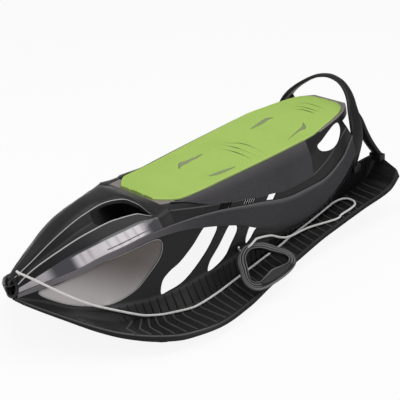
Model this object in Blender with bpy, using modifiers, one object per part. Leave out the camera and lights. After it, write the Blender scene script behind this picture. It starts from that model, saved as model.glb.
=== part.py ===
"""Moulded two-seat snow sled with foot trays, a soft seat pad and a tow rope.

Metres, +Z up. The nose points along -Y, the rider's left is +X, and the runners stand on Z = 0.
The shells follow rails, which are smooth lines from the nose to the tail. Places on the shells
are (along, out, up) in shares of LENGTH, HALF_WIDTH and HEIGHT; walls, gaps and holes are metres.
"""
import math

import bmesh
import bpy
import numpy as np
from mathutils import Matrix, Vector

# Overall size
LENGTH = 1.008
HALF_WIDTH = 0.286
HEIGHT = 0.335

# Shells
WALL = 0.003
SKIN = 0.0025
GAP = 0.0003
PANEL_SINK = 0.0012
PANEL_THICKNESS = 0.0016
SPLIT_OVER_SKIRT = 0.014
WALL_BULGE = 0.002
FRAME_Y = -0.0028
JOINT_Y = -0.1637 * LENGTH
JOINT_FLAT = 0.004
SHELL_TAIL_Y = 0.4067 * LENGTH
DECK_TAIL_Y = 0.4722 * LENGTH

# Grab opening under the middle of the nose cover
GRAB_FRONT_Y = -0.310 * LENGTH
GRAB_REAR_Y = -0.201 * LENGTH

# Between these the flank carries its grained panel
FLANK_PANEL_FRONT_Y = -0.135 * LENGTH
FLANK_PANEL_REAR_Y = 0.257 * LENGTH

# How far from the middle a cut through a flank starts and ends
CUT_REACH = (0.010, 0.215)

# Seat pad
PAD_THICKNESS = 0.0105
PAD_PROUD = 0.0045
PAD_CROWN = 0.0015
PAD_FRONT_Y = -0.1558 * LENGTH
PAD_REAR_Y = 0.4549 * LENGTH
PAD_ROUND = 0.0025
CHANNEL_DEPTH = 0.0015
CHANNEL_WIDTH = 0.0022
PEG_RADIUS = 0.003
CLIP_RADIUS = 0.008
CLIP_THICKNESS = 0.0015
PEG_LENGTH = WALL + CLIP_THICKNESS + 0.003

# Runners under the foot trays
KEEL_WIDTH = 0.012
KEEL_STEP = 0.050
TIE_DEPTH = 0.040
TIE_THICKNESS = 0.006
PAN_THICKNESS = 0.003
PAN_STEP = 0.018
PAN_DISH = 0.002

# Screws that hold the shells to the side rails
SCREW_RADIUS = 0.0015
SCREW_HEAD_RADIUS = 0.003
SCREW_HEAD_HEIGHT = 0.0018
SCREW_BITE = 0.0012

# Rear handle
HOOP_WIDTH = 0.018
HOOP_THICKNESS = 0.0082
STAY_HALF_DEPTH = 0.0085
SOCKET_DEPTH = 0.018
LEG_SOCKET = (0.0200, 0.0240)
STAY_SOCKET = (0.0350, 0.0185)

# Tow rope and its handle
ROPE_RADIUS = 0.0025
ROPE_HOLE_RADIUS = 0.0034
ROPE_EYE_RADIUS = 0.0044
ROPE_STEP = 0.0210
ROPE_END_STEP = 0.0100
NOSE_KNOT_RADIUS = 0.0065
HANDLE_KNOT_RADIUS = 0.0048
GRIP_WIDTH = 0.168
GRIP_REACH = 0.100
HANDLE_THICKNESS = 0.011
HANDLE_ARM = 0.015
HANDLE_GRIP_ARM = 0.029
HANDLE_NOSE = 0.008
HANDLE_PIVOT = Vector((0.6050 * HALF_WIDTH, 0.0004 * LENGTH, 0.2552 * HEIGHT))
HANDLE_TURN = math.radians(8.1)
HANDLE_TILT = math.radians(31.1)
GRIP_PLATE_DEPTH = 0.002
GRIP_PLATE_PROUD = 0.0008
GRIP_PLATE_MARGIN = 0.005

# Colours as linear RGB, with roughness
BLACK_SMOOTH = ((0.018, 0.018, 0.019), 0.32)
BLACK_GRAINED = ((0.030, 0.030, 0.031), 0.55)
PANEL_GLOSS = ((0.080, 0.074, 0.070), 0.12)
LIME = ((0.390, 0.580, 0.100), 0.60)
ROPE_WHITE = ((0.850, 0.840, 0.820), 0.80)
STEEL = ((0.420, 0.420, 0.430), 0.30)

# Rails of the nose cover, from the middle outward
SPINE = [(-0.495, 0, 0.494), (-0.483, 0, 0.514), (-0.453, 0, 0.562), (-0.417, 0, 0.627),
         (-0.377, 0, 0.689), (-0.332, 0, 0.740), (-0.278, 0, 0.776), (-0.233, 0, 0.780),
         (-0.198, 0, 0.744), (-0.164, 0, 0.684)]
SHOULDER = [(-0.495, 0.018, 0.491), (-0.453, 0.031, 0.559), (-0.417, 0.043, 0.624),
            (-0.377, 0.052, 0.686), (-0.332, 0.058, 0.736), (-0.278, 0.070, 0.771),
            (-0.233, 0.105, 0.774), (-0.198, 0.192, 0.735), (-0.164, 0.182, 0.683)]
BROW = [(-0.495, 0.029, 0.481), (-0.449, 0.052, 0.555), (-0.411, 0.072, 0.623),
        (-0.369, 0.089, 0.685), (-0.322, 0.099, 0.732), (-0.265, 0.116, 0.762),
        (-0.231, 0.164, 0.758), (-0.211, 0.250, 0.722), (-0.198, 0.346, 0.660),
        (-0.164, 0.273, 0.682)]
GUTTER = [(-0.495, 0.066, 0.446), (-0.463, 0.091, 0.509), (-0.400, 0.140, 0.585),
          (-0.335, 0.198, 0.650), (-0.271, 0.246, 0.682), (-0.228, 0.290, 0.683),
          (-0.198, 0.353, 0.655), (-0.164, 0.332, 0.679)]
CHEEK = [(-0.495, 0.073, 0.433), (-0.442, 0.137, 0.496), (-0.392, 0.197, 0.556),
         (-0.332, 0.267, 0.606), (-0.273, 0.315, 0.640), (-0.229, 0.344, 0.653),
         (-0.198, 0.381, 0.653), (-0.164, 0.378, 0.673)]
STRIP = [(-0.495, 0.070, 0.415), (-0.444, 0.157, 0.475), (-0.393, 0.229, 0.523),
         (-0.334, 0.303, 0.574), (-0.277, 0.360, 0.606), (-0.231, 0.387, 0.626),
         (-0.197, 0.404, 0.639), (-0.164, 0.416, 0.660)]

# Rails of the deck and the upper flank
DECK_EDGE = [(-0.164, 0.301, 0.678), (-0.144, 0.322, 0.672), (-0.124, 0.343, 0.669),
             (-0.099, 0.360, 0.669), (-0.050, 0.374, 0.672), (0.0, 0.385, 0.681),
             (0.149, 0.409, 0.707), (0.268, 0.416, 0.731), (0.337, 0.380, 0.749),
             (0.417, 0.312, 0.767), (0.446, 0.262, 0.773), (0.472, 0.180, 0.776)]
FLANK = [(-0.164, 0.363, 0.674), (-0.099, 0.411, 0.654), (-0.050, 0.430, 0.638),
         (0.020, 0.447, 0.622), (0.099, 0.457, 0.614), (0.179, 0.462, 0.608),
         (0.248, 0.458, 0.620), (0.308, 0.427, 0.662), (0.357, 0.395, 0.692),
         (0.407, 0.350, 0.725), (0.437, 0.298, 0.730), (0.472, 0.190, 0.737)]
BAND = [(-0.164, 0.413, 0.666), (-0.149, 0.420, 0.657), (-0.099, 0.444, 0.624),
        (-0.050, 0.462, 0.594), (0.020, 0.479, 0.552), (0.099, 0.483, 0.507),
        (0.179, 0.483, 0.478), (0.248, 0.476, 0.484), (0.308, 0.462, 0.537),
        (0.357, 0.430, 0.612), (0.407, 0.392, 0.693)]

# Rails of the side rail, the side wall and the foot tray
WAIST = [(-0.495, 0.063, 0.391), (-0.456, 0.162, 0.435), (-0.425, 0.224, 0.461),
         (-0.378, 0.300, 0.495), (-0.343, 0.346, 0.529), (-0.290, 0.406, 0.561),
         (-0.230, 0.441, 0.585), (-0.178, 0.455, 0.588), (-0.121, 0.465, 0.579),
         (-0.063, 0.476, 0.561), (0.060, 0.490, 0.493), (0.188, 0.490, 0.421),
         (0.278, 0.479, 0.421), (0.367, 0.458, 0.513), (0.407, 0.444, 0.642)]
SKIRT = [(-0.495, 0.056, 0.364), (-0.427, 0.246, 0.432), (-0.380, 0.325, 0.465),
         (-0.346, 0.372, 0.499), (-0.293, 0.431, 0.530), (-0.238, 0.462, 0.552),
         (-0.169, 0.486, 0.540), (-0.099, 0.503, 0.496), (0.0, 0.514, 0.403),
         (0.069, 0.514, 0.304), (0.139, 0.510, 0.230), (0.198, 0.507, 0.203),
         (0.258, 0.503, 0.224), (0.317, 0.497, 0.293), (0.367, 0.490, 0.388),
         (0.407, 0.479, 0.501)]
WALL_TOP = [(-0.495, 0.042, 0.352), (-0.466, 0.192, 0.340), (-0.427, 0.364, 0.301),
            (-0.387, 0.448, 0.269), (-0.347, 0.497, 0.242), (-0.308, 0.521, 0.224),
            (-0.268, 0.535, 0.200), (-0.218, 0.556, 0.194), (-0.169, 0.577, 0.200),
            (-0.099, 0.577, 0.212), (0.0, 0.552, 0.215), (0.069, 0.528, 0.203),
            (0.139, 0.507, 0.179), (0.198, 0.490, 0.167), (0.258, 0.476, 0.185),
            (0.317, 0.469, 0.239), (0.367, 0.462, 0.313), (0.407, 0.451, 0.388),
            (0.437, 0.441, 0.409), (0.499, 0.437, 0.412)]
FLOOR_IN = [(-0.495, 0.028, 0.346), (-0.466, 0.217, 0.313), (-0.427, 0.427, 0.260),
            (-0.387, 0.531, 0.209), (-0.347, 0.580, 0.170), (-0.308, 0.587, 0.134),
            (-0.268, 0.580, 0.104), (-0.218, 0.615, 0.090), (-0.169, 0.654, 0.087),
            (-0.099, 0.636, 0.087), (0.0, 0.573, 0.090), (0.119, 0.500, 0.101),
            (0.248, 0.444, 0.128), (0.377, 0.413, 0.179), (0.471, 0.392, 0.215),
            (0.486, 0.427, 0.313), (0.499, 0.465, 0.400)]
RIM_TOP = [(-0.495, 0.014, 0.343), (-0.481, 0.140, 0.316), (-0.451, 0.360, 0.269),
           (-0.415, 0.576, 0.214), (-0.373, 0.712, 0.158), (-0.327, 0.846, 0.125),
           (-0.268, 0.937, 0.093), (-0.188, 0.986, 0.078), (-0.099, 0.937, 0.075),
           (0.0, 0.839, 0.078), (0.119, 0.734, 0.093), (0.248, 0.671, 0.128),
           (0.377, 0.657, 0.176), (0.471, 0.661, 0.221), (0.486, 0.675, 0.275),
           (0.499, 0.664, 0.328)]
RIM_LOW = [(-0.495, 0.007, 0.322), (-0.481, 0.147, 0.296), (-0.451, 0.371, 0.245),
           (-0.415, 0.590, 0.184), (-0.373, 0.726, 0.123), (-0.327, 0.860, 0.087),
           (-0.268, 0.951, 0.060), (-0.188, 1.0, 0.054), (-0.099, 0.951, 0.051),
           (0.0, 0.853, 0.054), (0.119, 0.748, 0.069), (0.248, 0.685, 0.104),
           (0.377, 0.671, 0.152), (0.471, 0.675, 0.194), (0.486, 0.689, 0.240),
           (0.499, 0.692, 0.281)]

# The pad's half width, as (along, out)
PAD_SIDE = [(-0.156, 0.189), (-0.110, 0.332), (0.0, 0.353), (0.149, 0.378), (0.280, 0.388),
            (0.347, 0.343), (0.397, 0.300), (0.427, 0.262), (0.445, 0.215), (0.455, 0.150)]

# Runners on each side: share of the tray's width from its inner wall, first and last place along
KEELS = [(0.22, -0.325, 0.415), (0.52, -0.310, 0.020)]

# The pan under the nose, from and to along, and the beam at the tail, as (along, up)
PAN_SPAN = (-0.485, -0.338)
TAIL_TIE = (0.452, 0.270)

# The lowest line of the runners, as (along, up)
KEEL_LINE = [(-0.335, 0.060), (-0.290, 0.0), (0.200, 0.0), (0.290, 0.060), (0.417, 0.155)]

# Openings in the side wall between its legs, as (along, up)
LEG_OPENINGS = [
    [(-0.104, 0.510), (-0.062, 0.462), (-0.081, 0.394), (-0.116, 0.322), (-0.155, 0.257),
     (-0.189, 0.218), (-0.217, 0.204), (-0.238, 0.204), (-0.229, 0.281), (-0.207, 0.325),
     (-0.180, 0.355), (-0.143, 0.415)],
    [(-0.032, 0.440), (-0.008, 0.409), (-0.006, 0.373), (-0.030, 0.310), (-0.052, 0.257),
     (-0.079, 0.227), (-0.102, 0.218), (-0.096, 0.281), (-0.072, 0.343)],
    [(0.029, 0.370), (0.052, 0.335), (0.042, 0.307), (0.030, 0.272), (0.019, 0.260),
     (0.018, 0.310)],
]
SIDE_HOLE = [(0.290, 0.669), (0.294, 0.636), (0.309, 0.609), (0.334, 0.594), (0.357, 0.606),
             (0.375, 0.645), (0.389, 0.698), (0.387, 0.734), (0.369, 0.739), (0.342, 0.719),
             (0.309, 0.687)]
PANEL_OUTLINE = [(-0.464, 0.382), (-0.427, 0.418), (-0.383, 0.457), (-0.349, 0.490),
                 (-0.293, 0.516), (-0.238, 0.534), (-0.205, 0.530), (-0.201, 0.490),
                 (-0.214, 0.430), (-0.246, 0.366), (-0.288, 0.298), (-0.350, 0.266),
                 (-0.402, 0.292), (-0.445, 0.337)]

# Slanted slots through the band: (first place along, count, pitch, width, lean)
BAND_SLOTS = [(-0.042, 4, 0.0105, 0.0055, -0.008), (0.034, 4, 0.0095, 0.0050, -0.007),
              (0.104, 1, 0.0, 0.0260, 0.013)]

# Embossed arcs and ticks on the pad: centre y, offset across, half angle, radius, count, pitch
PAD_ARCS = [(0.050, 0.022, 38, 0.052, 3, 0.011), (0.300, 0.012, 40, 0.042, 3, 0.010)]
PAD_TICKS = [(-0.055, -0.038, 78, 0.066), (-0.050, 0.052, 97, 0.062),
             (0.190, -0.052, 72, 0.062), (0.205, 0.052, 112, 0.060)]

# Pegs under the pad, as (along, out)
PEG_PLACES = [(-0.085, 0.175), (0.120, 0.190), (0.333, 0.190)]

# Screws of the side rails, as (along, row): the upper row is in the upper shells
COVER_SCREWS = [(-0.397, "upper"), (-0.208, "upper")]
DECK_SCREWS = [(-0.109, "upper"), (0.095, "upper"), (0.328, "upper")]
HULL_SCREWS = [(-0.310, "lower"), (-0.035, "lower"), (0.250, "lower")]

# Rear handle from its foot to the middle: (along, out, up), then width and thickness in metres
HOOP_PATH = [(0.4157, 0.446, 0.4050, 0.016, 0.0075), (0.4160, 0.446, 0.4164, 0.016, 0.0075),
             (0.4187, 0.455, 0.478, 0.022, 0.0095),
             (0.4256, 0.448, 0.567, 0.035, 0.0110), (0.4301, 0.427, 0.651, 0.040, 0.0120),
             (0.4345, 0.391, 0.738, 0.037, 0.0120), (0.4410, 0.349, 0.798, 0.032, 0.0115),
             (0.4515, 0.300, 0.844, 0.027, 0.0105), (0.4610, 0.243, 0.882, 0.023, 0.0095),
             (0.4680, 0.178, 0.916, 0.020, 0.0088), (0.4725, 0.105, 0.940, HOOP_WIDTH, 0.0084),
             (0.4745, 0.0, 0.953, HOOP_WIDTH, HOOP_THICKNESS)]

# Stays behind the handle's legs, from the top: (along, out, up), then half their width in metres
STAY_PATH = [(0.4444, 0.372, 0.764, 0.0100), (0.4554, 0.378, 0.704, 0.0125),
             (0.4653, 0.390, 0.615, 0.0150), (0.4752, 0.413, 0.534, 0.0160),
             (0.4851, 0.443, 0.466, 0.0160), (0.4930, 0.466, 0.4225, 0.0155)]

# Route of the tow rope, chosen by hand, from the hole in the nose to the handle; the second
# list is the stretch that bends when the handle is lifted
ROPE_ROUTE = [(0.0075, -0.4800, 0.1560), (0.0105, -0.4858, 0.1680), (0.0160, -0.4915, 0.1775),
              (0.0280, -0.4954, 0.1800), (0.0600, -0.4744, 0.1627), (0.0980, -0.4422, 0.1343),
              (0.1270, -0.4052, 0.1062), (0.1490, -0.3584, 0.0794), (0.1690, -0.3115, 0.0550),
              (0.1730, -0.2800, 0.0420), (0.1810, -0.2520, 0.0360), (0.1985, -0.2030, 0.0335),
              (0.2005, -0.1735, 0.0325), (0.1930, -0.1105, 0.0325), (0.1780, -0.0350, 0.0330),
              (0.1635, 0.0470, 0.0350), (0.1500, 0.1290, 0.0380), (0.1430, 0.1650, 0.0410),
              (0.1395, 0.1980, 0.0440), (0.1340, 0.2670, 0.0530), (0.1312, 0.3090, 0.0600),
              (0.1287, 0.3440, 0.0640), (0.1350, 0.3710, 0.0640), (0.1555, 0.3765, 0.0630),
              (0.1720, 0.3655, 0.0615), (0.1765, 0.3445, 0.0590), (0.1755, 0.3130, 0.0550),
              (0.1780, 0.2905, 0.0520), (0.1530, 0.2305, 0.0470), (0.1490, 0.2040, 0.0465),
              (0.1555, 0.1510, 0.0520), (0.1560, 0.1215, 0.0620)]
ROPE_END_ROUTE = [(0.1588, 0.0885, 0.0800), (0.1705, 0.0360, 0.0970), (0.1763, 0.0190, 0.0985),
                  (0.1797, 0.0085, 0.0972), (0.1788, 0.0030, 0.0943), (0.1763, 0.0010, 0.0908),
                  (0.1730, 0.0004, 0.0855), (0.1705, 0.00001, 0.0812)]

# Rope ends beyond the knots; the second is in the handle's own axes
NOSE_TAIL = [(0.0060, -0.4800, 0.1500), (0.0010, -0.4900, 0.1440), (-0.0055, -0.5020, 0.1400),
             (-0.0190, -0.5080, 0.1415)]
HANDLE_TAIL = [(-0.0010, -0.0010, -0.0105), (-0.0070, -0.0070, -0.0112),
               (-0.0118, -0.0125, -0.0075), (-0.0128, -0.0165, -0.0010),
               (-0.0125, -0.0195, 0.0045)]


def clear_scene():
    for item in list(bpy.data.objects):
        bpy.data.objects.remove(item, do_unlink=True)


def new_collection(name):
    collection = bpy.data.collections.new(name)
    bpy.context.scene.collection.children.link(collection)
    return collection


clear_scene()
PARTS = new_collection("sled")
CUTTERS = new_collection("sled_cutters")

# Everything hangs on this empty, which puts the origin midway between the nose and the tail
FRAME = bpy.data.objects.new("sled_frame", None)
PARTS.objects.link(FRAME)
FRAME.location = (0, FRAME_Y, 0)


def material(name, look, metallic=0.0):
    colour, roughness = look
    made = bpy.data.materials.new(name)
    made.use_nodes = True
    shader = made.node_tree.nodes["Principled BSDF"]
    shader.inputs["Base Color"].default_value = (*colour, 1.0)
    shader.inputs["Roughness"].default_value = roughness
    shader.inputs["Metallic"].default_value = metallic
    return made


def link(name, mesh, look, metallic=0.0):
    """A named part with its own material, in the part collection."""
    item = bpy.data.objects.new(name, mesh)
    PARTS.objects.link(item)
    item.parent = FRAME
    mesh.materials.append(material(name, look, metallic))
    mesh.shade_smooth()
    mesh.set_sharp_from_angle(angle=math.radians(35))
    return item


def link_tool(name, mesh):
    """A hidden shape that cuts or extends a part."""
    item = bpy.data.objects.new(name, mesh)
    CUTTERS.objects.link(item)
    item.parent = FRAME
    item.hide_render = True
    item.display_type = "WIRE"
    return item


def mesh_from(name, points, faces):
    mesh = bpy.data.meshes.new(name)
    mesh.from_pydata([tuple(p) for p in points], [], faces)
    mesh.update()
    return mesh


def boolean(item, tool, operation):
    modifier = item.modifiers.new(tool.name, "BOOLEAN")
    modifier.operation = operation
    modifier.solver = "EXACT"
    modifier.object = tool


def smooth_values(knots, values, at):
    """Monotone cubic through the knots, so a rail never overshoots its stations."""
    steps = np.diff(knots)
    slopes = np.diff(values) / steps
    tangents = np.zeros(len(knots))
    tangents[0], tangents[-1] = slopes[0], slopes[-1]
    for k in range(1, len(knots) - 1):
        before, after = slopes[k - 1], slopes[k]
        if before * after > 0:
            w1 = 2 * steps[k] + steps[k - 1]
            w2 = steps[k] + 2 * steps[k - 1]
            tangents[k] = (w1 + w2) / (w1 / before + w2 / after)
    at = np.clip(at, knots[0], knots[-1])
    k = np.clip(np.searchsorted(knots, at, side="right") - 1, 0, len(knots) - 2)
    t = (at - knots[k]) / steps[k]
    return ((2 * t**3 - 3 * t**2 + 1) * values[k] + (t**3 - 2 * t**2 + t) * steps[k] * tangents[k]
            + (3 * t**2 - 2 * t**3) * values[k + 1] + (t**3 - t**2) * steps[k] * tangents[k + 1])


def rail(stations, ys):
    """Points (x, y, z) of a rail at the given y, in metres; level where the shells join."""
    knots = np.array(stations, float)
    ys = np.asarray(ys, float)
    along = np.where(np.abs(ys - JOINT_Y) < 1.01 * JOINT_FLAT, JOINT_Y, ys) / LENGTH
    x = smooth_values(knots[:, 0], knots[:, 1], along) * HALF_WIDTH
    z = smooth_values(knots[:, 0], knots[:, 2], along) * HEIGHT
    return np.stack([x, ys, z], axis=-1)


def pad_side(ys):
    knots = np.array(PAD_SIDE, float)
    return smooth_values(knots[:, 0], knots[:, 1], np.asarray(ys) / LENGTH) * HALF_WIDTH


def mix(first, second, share):
    return first * (1 - share) + second * share


def spread(start, end, step):
    """Evenly spaced values from start to end, at most a step apart."""
    count = max(2, int(math.ceil((end - start) / step)) + 1)
    return list(np.linspace(start, end, count))


def normals(grid):
    """Unit normals of a grid of stations by columns, pointing out of the sled."""
    along = np.gradient(grid, axis=0)
    across = np.gradient(grid, axis=1)
    result = np.cross(across, along)
    result[np.abs(grid[:, :, 0]) < 1e-9, 0] = 0.0
    return result / np.linalg.norm(result, axis=2, keepdims=True)


def sheet_mesh(name, grid, keep=None, side=1):
    """Faces over a grid, two to a cell; keep(i, j) tells which cells exist."""
    rows, columns = grid.shape[:2]
    points = grid.reshape(-1, 3) * np.array([side, 1, 1])
    faces = []
    for i in range(rows - 1):
        for j in range(columns - 1):
            if keep is None or keep(i, j):
                a, b = i * columns + j, (i + 1) * columns + j
                halves = [[a, a + 1, b + 1], [a, b + 1, b]]
                faces += halves if side > 0 else [half[::-1] for half in halves]
    mesh = mesh_from(name, points, faces)
    tidy = bmesh.new()
    tidy.from_mesh(mesh)
    loose = [v for v in tidy.verts if not v.link_faces]
    bmesh.ops.delete(tidy, geom=loose, context="VERTS")
    tidy.to_mesh(mesh)
    tidy.free()
    return mesh


def thicken(item, thickness, outward):
    modifier = item.modifiers.new("Thickness", "SOLIDIFY")
    modifier.thickness = thickness
    modifier.offset = 1.0 if outward else -1.0
    modifier.use_even_offset = True


def mirror(item):
    modifier = item.modifiers.new("Mirror", "MIRROR")
    modifier.use_axis = (True, False, False)
    modifier.merge_threshold = 0.0001
    modifier.use_clip = True


def ring_mesh(name, rings, closed=False):
    """A solid through closed rings of equal point counts, with flat ends unless closed."""
    count = len(rings[0])
    points = [p for ring in rings for p in ring]
    faces = []
    spans = len(rings) if closed else len(rings) - 1
    for i in range(spans):
        start, following = i * count, ((i + 1) % len(rings)) * count
        for j in range(count):
            k = (j + 1) % count
            faces.append([start + j, start + k, following + k, following + j])
    if not closed:
        faces.append(list(range(count))[::-1])
        faces.append([(len(rings) - 1) * count + j for j in range(count)])
    mesh = mesh_from(name, points, faces)
    tidy = bmesh.new()
    tidy.from_mesh(mesh)
    bmesh.ops.recalc_face_normals(tidy, faces=tidy.faces)
    tidy.to_mesh(mesh)
    tidy.free()
    return mesh


def joined_mesh(name, meshes):
    """One mesh that holds several separate bodies."""
    work = bmesh.new()
    for mesh in meshes:
        work.from_mesh(mesh)
    made = bpy.data.meshes.new(name)
    work.to_mesh(made)
    work.free()
    return made


def both_sides(mesh):
    """The mesh and its mirror image across the middle plane."""
    work = bmesh.new()
    work.from_mesh(mesh)
    copy = bmesh.new()
    copy.from_mesh(mesh)
    bmesh.ops.scale(copy, vec=(-1, 1, 1), verts=copy.verts)
    bmesh.ops.reverse_faces(copy, faces=copy.faces)
    other = bpy.data.meshes.new("other")
    copy.to_mesh(other)
    copy.free()
    work.from_mesh(other)
    work.to_mesh(mesh)
    work.free()
    return mesh


def smooth_loop(points, per_span):
    """Closed Catmull-Rom curve through points of any dimension."""
    knots = np.array(points, float)
    result = []
    for k in range(len(knots)):
        p0, p1, p2, p3 = (knots[(k + d) % len(knots)] for d in (-1, 0, 1, 2))
        for step in range(per_span):
            t = step / per_span
            result.append(0.5 * (2 * p1 + (p2 - p0) * t + (2 * p0 - 5 * p1 + 4 * p2 - p3) * t**2
                                 + (3 * p1 - p0 - 3 * p2 + p3) * t**3))
    return result


def smooth_stations(stations, per_span):
    """Open Catmull-Rom curve through rows of numbers, of any length."""
    rows = np.array(stations, float)
    padded = np.vstack([2 * rows[0] - rows[1], rows, 2 * rows[-1] - rows[-2]])
    fine = []
    for k in range(1, len(padded) - 2):
        p0, p1, p2, p3 = padded[k - 1:k + 3]
        for t in np.linspace(0, 1, per_span, endpoint=False):
            fine.append(0.5 * (2 * p1 + (p2 - p0) * t + (2 * p0 - 5 * p1 + 4 * p2 - p3) * t**2
                               + (3 * p1 - p0 - 3 * p2 + p3) * t**3))
    return np.array(fine + [rows[-1]])


def resampled(fine, step):
    """Points a step apart along a fine path, with short straight ends."""
    run = np.concatenate([[0], np.cumsum(np.linalg.norm(np.diff(fine, axis=0), axis=1))])
    places = np.linspace(0, run[-1], max(3, int(round(run[-1] / step)) + 1))
    end = ROPE_RADIUS
    places = np.concatenate([[0, end], places[1:-1], [run[-1] - end, run[-1]]])
    return np.stack([np.interp(places, run, fine[:, axis]) for axis in range(3)], axis=-1)


def flat_mesh(outline, thickness):
    """A flat solid over a closed outline in its own XY plane."""
    curve = bpy.data.curves.new("outline", "CURVE")
    curve.dimensions = "2D"
    curve.fill_mode = "BOTH"
    curve.extrude = thickness / 2
    spline = curve.splines.new("POLY")
    spline.points.add(len(outline) - 1)
    for spot, (u, v) in zip(spline.points, outline):
        spot.co = (u, v, 0, 1)
    spline.use_cyclic_u = True
    item = bpy.data.objects.new("outline", curve)
    CUTTERS.objects.link(item)
    evaluated = item.evaluated_get(bpy.context.evaluated_depsgraph_get())
    mesh = bpy.data.meshes.new_from_object(evaluated)
    bpy.data.objects.remove(item)
    work = bmesh.new()
    work.from_mesh(mesh)
    bmesh.ops.remove_doubles(work, verts=work.verts, dist=1e-6)
    bmesh.ops.recalc_face_normals(work, faces=work.faces)
    work.to_mesh(mesh)
    work.free()
    return mesh


def prism(outline, low, high):
    """A solid from an outline in (y, z), between two x values."""
    mesh = flat_mesh(outline, high - low)
    upright = Matrix(((0, 0, 1, (low + high) / 2), (1, 0, 0, 0), (0, 1, 0, 0), (0, 0, 0, 1)))
    mesh.transform(upright)
    return mesh


def side_cutter(outline):
    """Prisms that cut both flanks to an outline in (y, z)."""
    return both_sides(prism(outline, *CUT_REACH))


def outline_yz(shares, per_span=2):
    return [(y, z) for y, z in smooth_loop([(t * LENGTH, h * HEIGHT) for t, h in shares], per_span)]


def offset_outline(outline, distance):
    """The outline moved inward by a distance, along its own normals."""
    points = np.array(outline)
    ahead = np.roll(points, -1, axis=0) - np.roll(points, 1, axis=0)
    side = np.stack([-ahead[:, 1], ahead[:, 0]], axis=-1)
    side /= np.linalg.norm(side, axis=1, keepdims=True)
    area = np.sum(points[:, 0] * np.roll(points[:, 1], -1) - np.roll(points[:, 0], -1) * points[:, 1])
    return points + side * distance * (1 if area > 0 else -1)


def rod_mesh(start, end, radius, sides=12):
    """A cylinder between two points."""
    axis = Vector(end) - Vector(start)
    work = bmesh.new()
    turn = axis.to_track_quat("Z", "Y").to_matrix().to_4x4()
    place = Matrix.Translation((Vector(start) + Vector(end)) / 2) @ turn
    bmesh.ops.create_cone(work, cap_ends=True, segments=sides, radius1=radius, radius2=radius,
                          depth=axis.length, matrix=place)
    made = bpy.data.meshes.new("rod")
    work.to_mesh(made)
    work.free()
    return made


def box_mesh(centre, size):
    work = bmesh.new()
    place = Matrix.Translation(centre) @ Matrix.Diagonal((*size, 1))
    bmesh.ops.create_cube(work, size=1, matrix=place)
    made = bpy.data.meshes.new("box")
    work.to_mesh(made)
    work.free()
    return made


# Grids of the shells

def split_line(ys, lowered=0.0):
    """Where the upper shells end behind the side rail, or a point lower down the wall."""
    waist, skirt = rail(WAIST, ys), rail(SKIRT, ys)
    width = np.linalg.norm(waist - skirt, axis=1)
    share = np.clip(SPLIT_OVER_SKIRT / width, 0.0, 0.5) - lowered / width
    return skirt + (waist - skirt) * share[:, None]


def bulged(first, second, share, bulge):
    """A column between two rails, pushed outward."""
    middle = mix(first, second, share)
    middle[:, 0] += bulge
    return middle


def stations(*spans):
    """Places along the sled from spans of (start, end, step) in shares of LENGTH."""
    return [share * LENGTH for span in spans for share in spread(*span)]


# All shells and skins share these stations, so their faces stay parallel
SHELL_YS = (stations((-0.495, -0.376, 0.0150), (-0.355, -0.333, 0.022)) + [GRAB_FRONT_Y]
            + stations((-0.283, -0.229, 0.027)) + [GRAB_REAR_Y]
            + stations((-0.190, -0.176, 0.014)) + [JOINT_Y - JOINT_FLAT, JOINT_Y]
            + [JOINT_Y + JOINT_FLAT]
            + stations((-0.150, -0.127, 0.023), (-0.103, 0.262, 0.0370), (0.281, 0.392, 0.0185))
            + [SHELL_TAIL_Y])
HULL_YS = SHELL_YS + stations((0.425, 0.471, 0.016), (0.479, 0.499, 0.008))
COVER_YS = [y for y in SHELL_YS if y <= JOINT_Y]
DECK_YS = ([JOINT_Y + GAP] + [y for y in SHELL_YS if y > JOINT_Y]
           + stations((0.418, 0.460, 0.0105)) + [DECK_TAIL_Y])


def hull_grid(ys):
    ys = np.array(ys)
    skirt, wall_top = rail(SKIRT, ys), rail(WALL_TOP, ys)
    floor_in, rim_top = rail(FLOOR_IN, ys), rail(RIM_TOP, ys)
    return np.stack([split_line(ys, 2 * GAP), skirt, bulged(skirt, wall_top, 0.5, WALL_BULGE),
                     wall_top, floor_in, rim_top, rail(RIM_LOW, ys)], axis=1)


def deck_grid(ys):
    """Columns from the middle of the deck, over its edge and down the flank."""
    ys = np.array(ys)
    edge = rail(DECK_EDGE, ys)
    middle = edge * np.array([0, 1, 1])
    pad_line = edge * np.array([0.82, 1, 1])
    return np.stack([middle, pad_line, edge, rail(FLANK, ys), rail(BAND, ys), rail(WAIST, ys),
                     split_line(ys)], axis=1)


def cover_grid(ys):
    ys = np.array(ys)
    brow, gutter = rail(BROW, ys), rail(GUTTER, ys)
    trough = np.stack([mix(brow, gutter, 0.35)[:, 0], ys, mix(brow, gutter, 0.85)[:, 2]], axis=-1)
    return np.stack([rail(SPINE, ys), rail(SHOULDER, ys), brow, trough, gutter, rail(CHEEK, ys),
                     rail(STRIP, ys), rail(WAIST, ys), split_line(ys)], axis=1)


def wall_point(y, row):
    """Middle of the upper or lower strip behind the side rail, with the wall's normal."""
    ys = np.array([y - 0.004, y, y + 0.004])
    edge = rail(WAIST, ys) if row == "upper" else rail(SKIRT, ys)
    split = split_line(ys)
    columns = [mix(edge, split, share) for share in (0.0, 0.5, 1.0)]
    if row == "lower":
        columns.reverse()
    grid = np.stack(columns, axis=1)
    return Vector(grid[1, 1]), Vector(normals(grid)[1, 1])


# Screws: the head lies inside, the tip bites into the side rail

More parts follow.
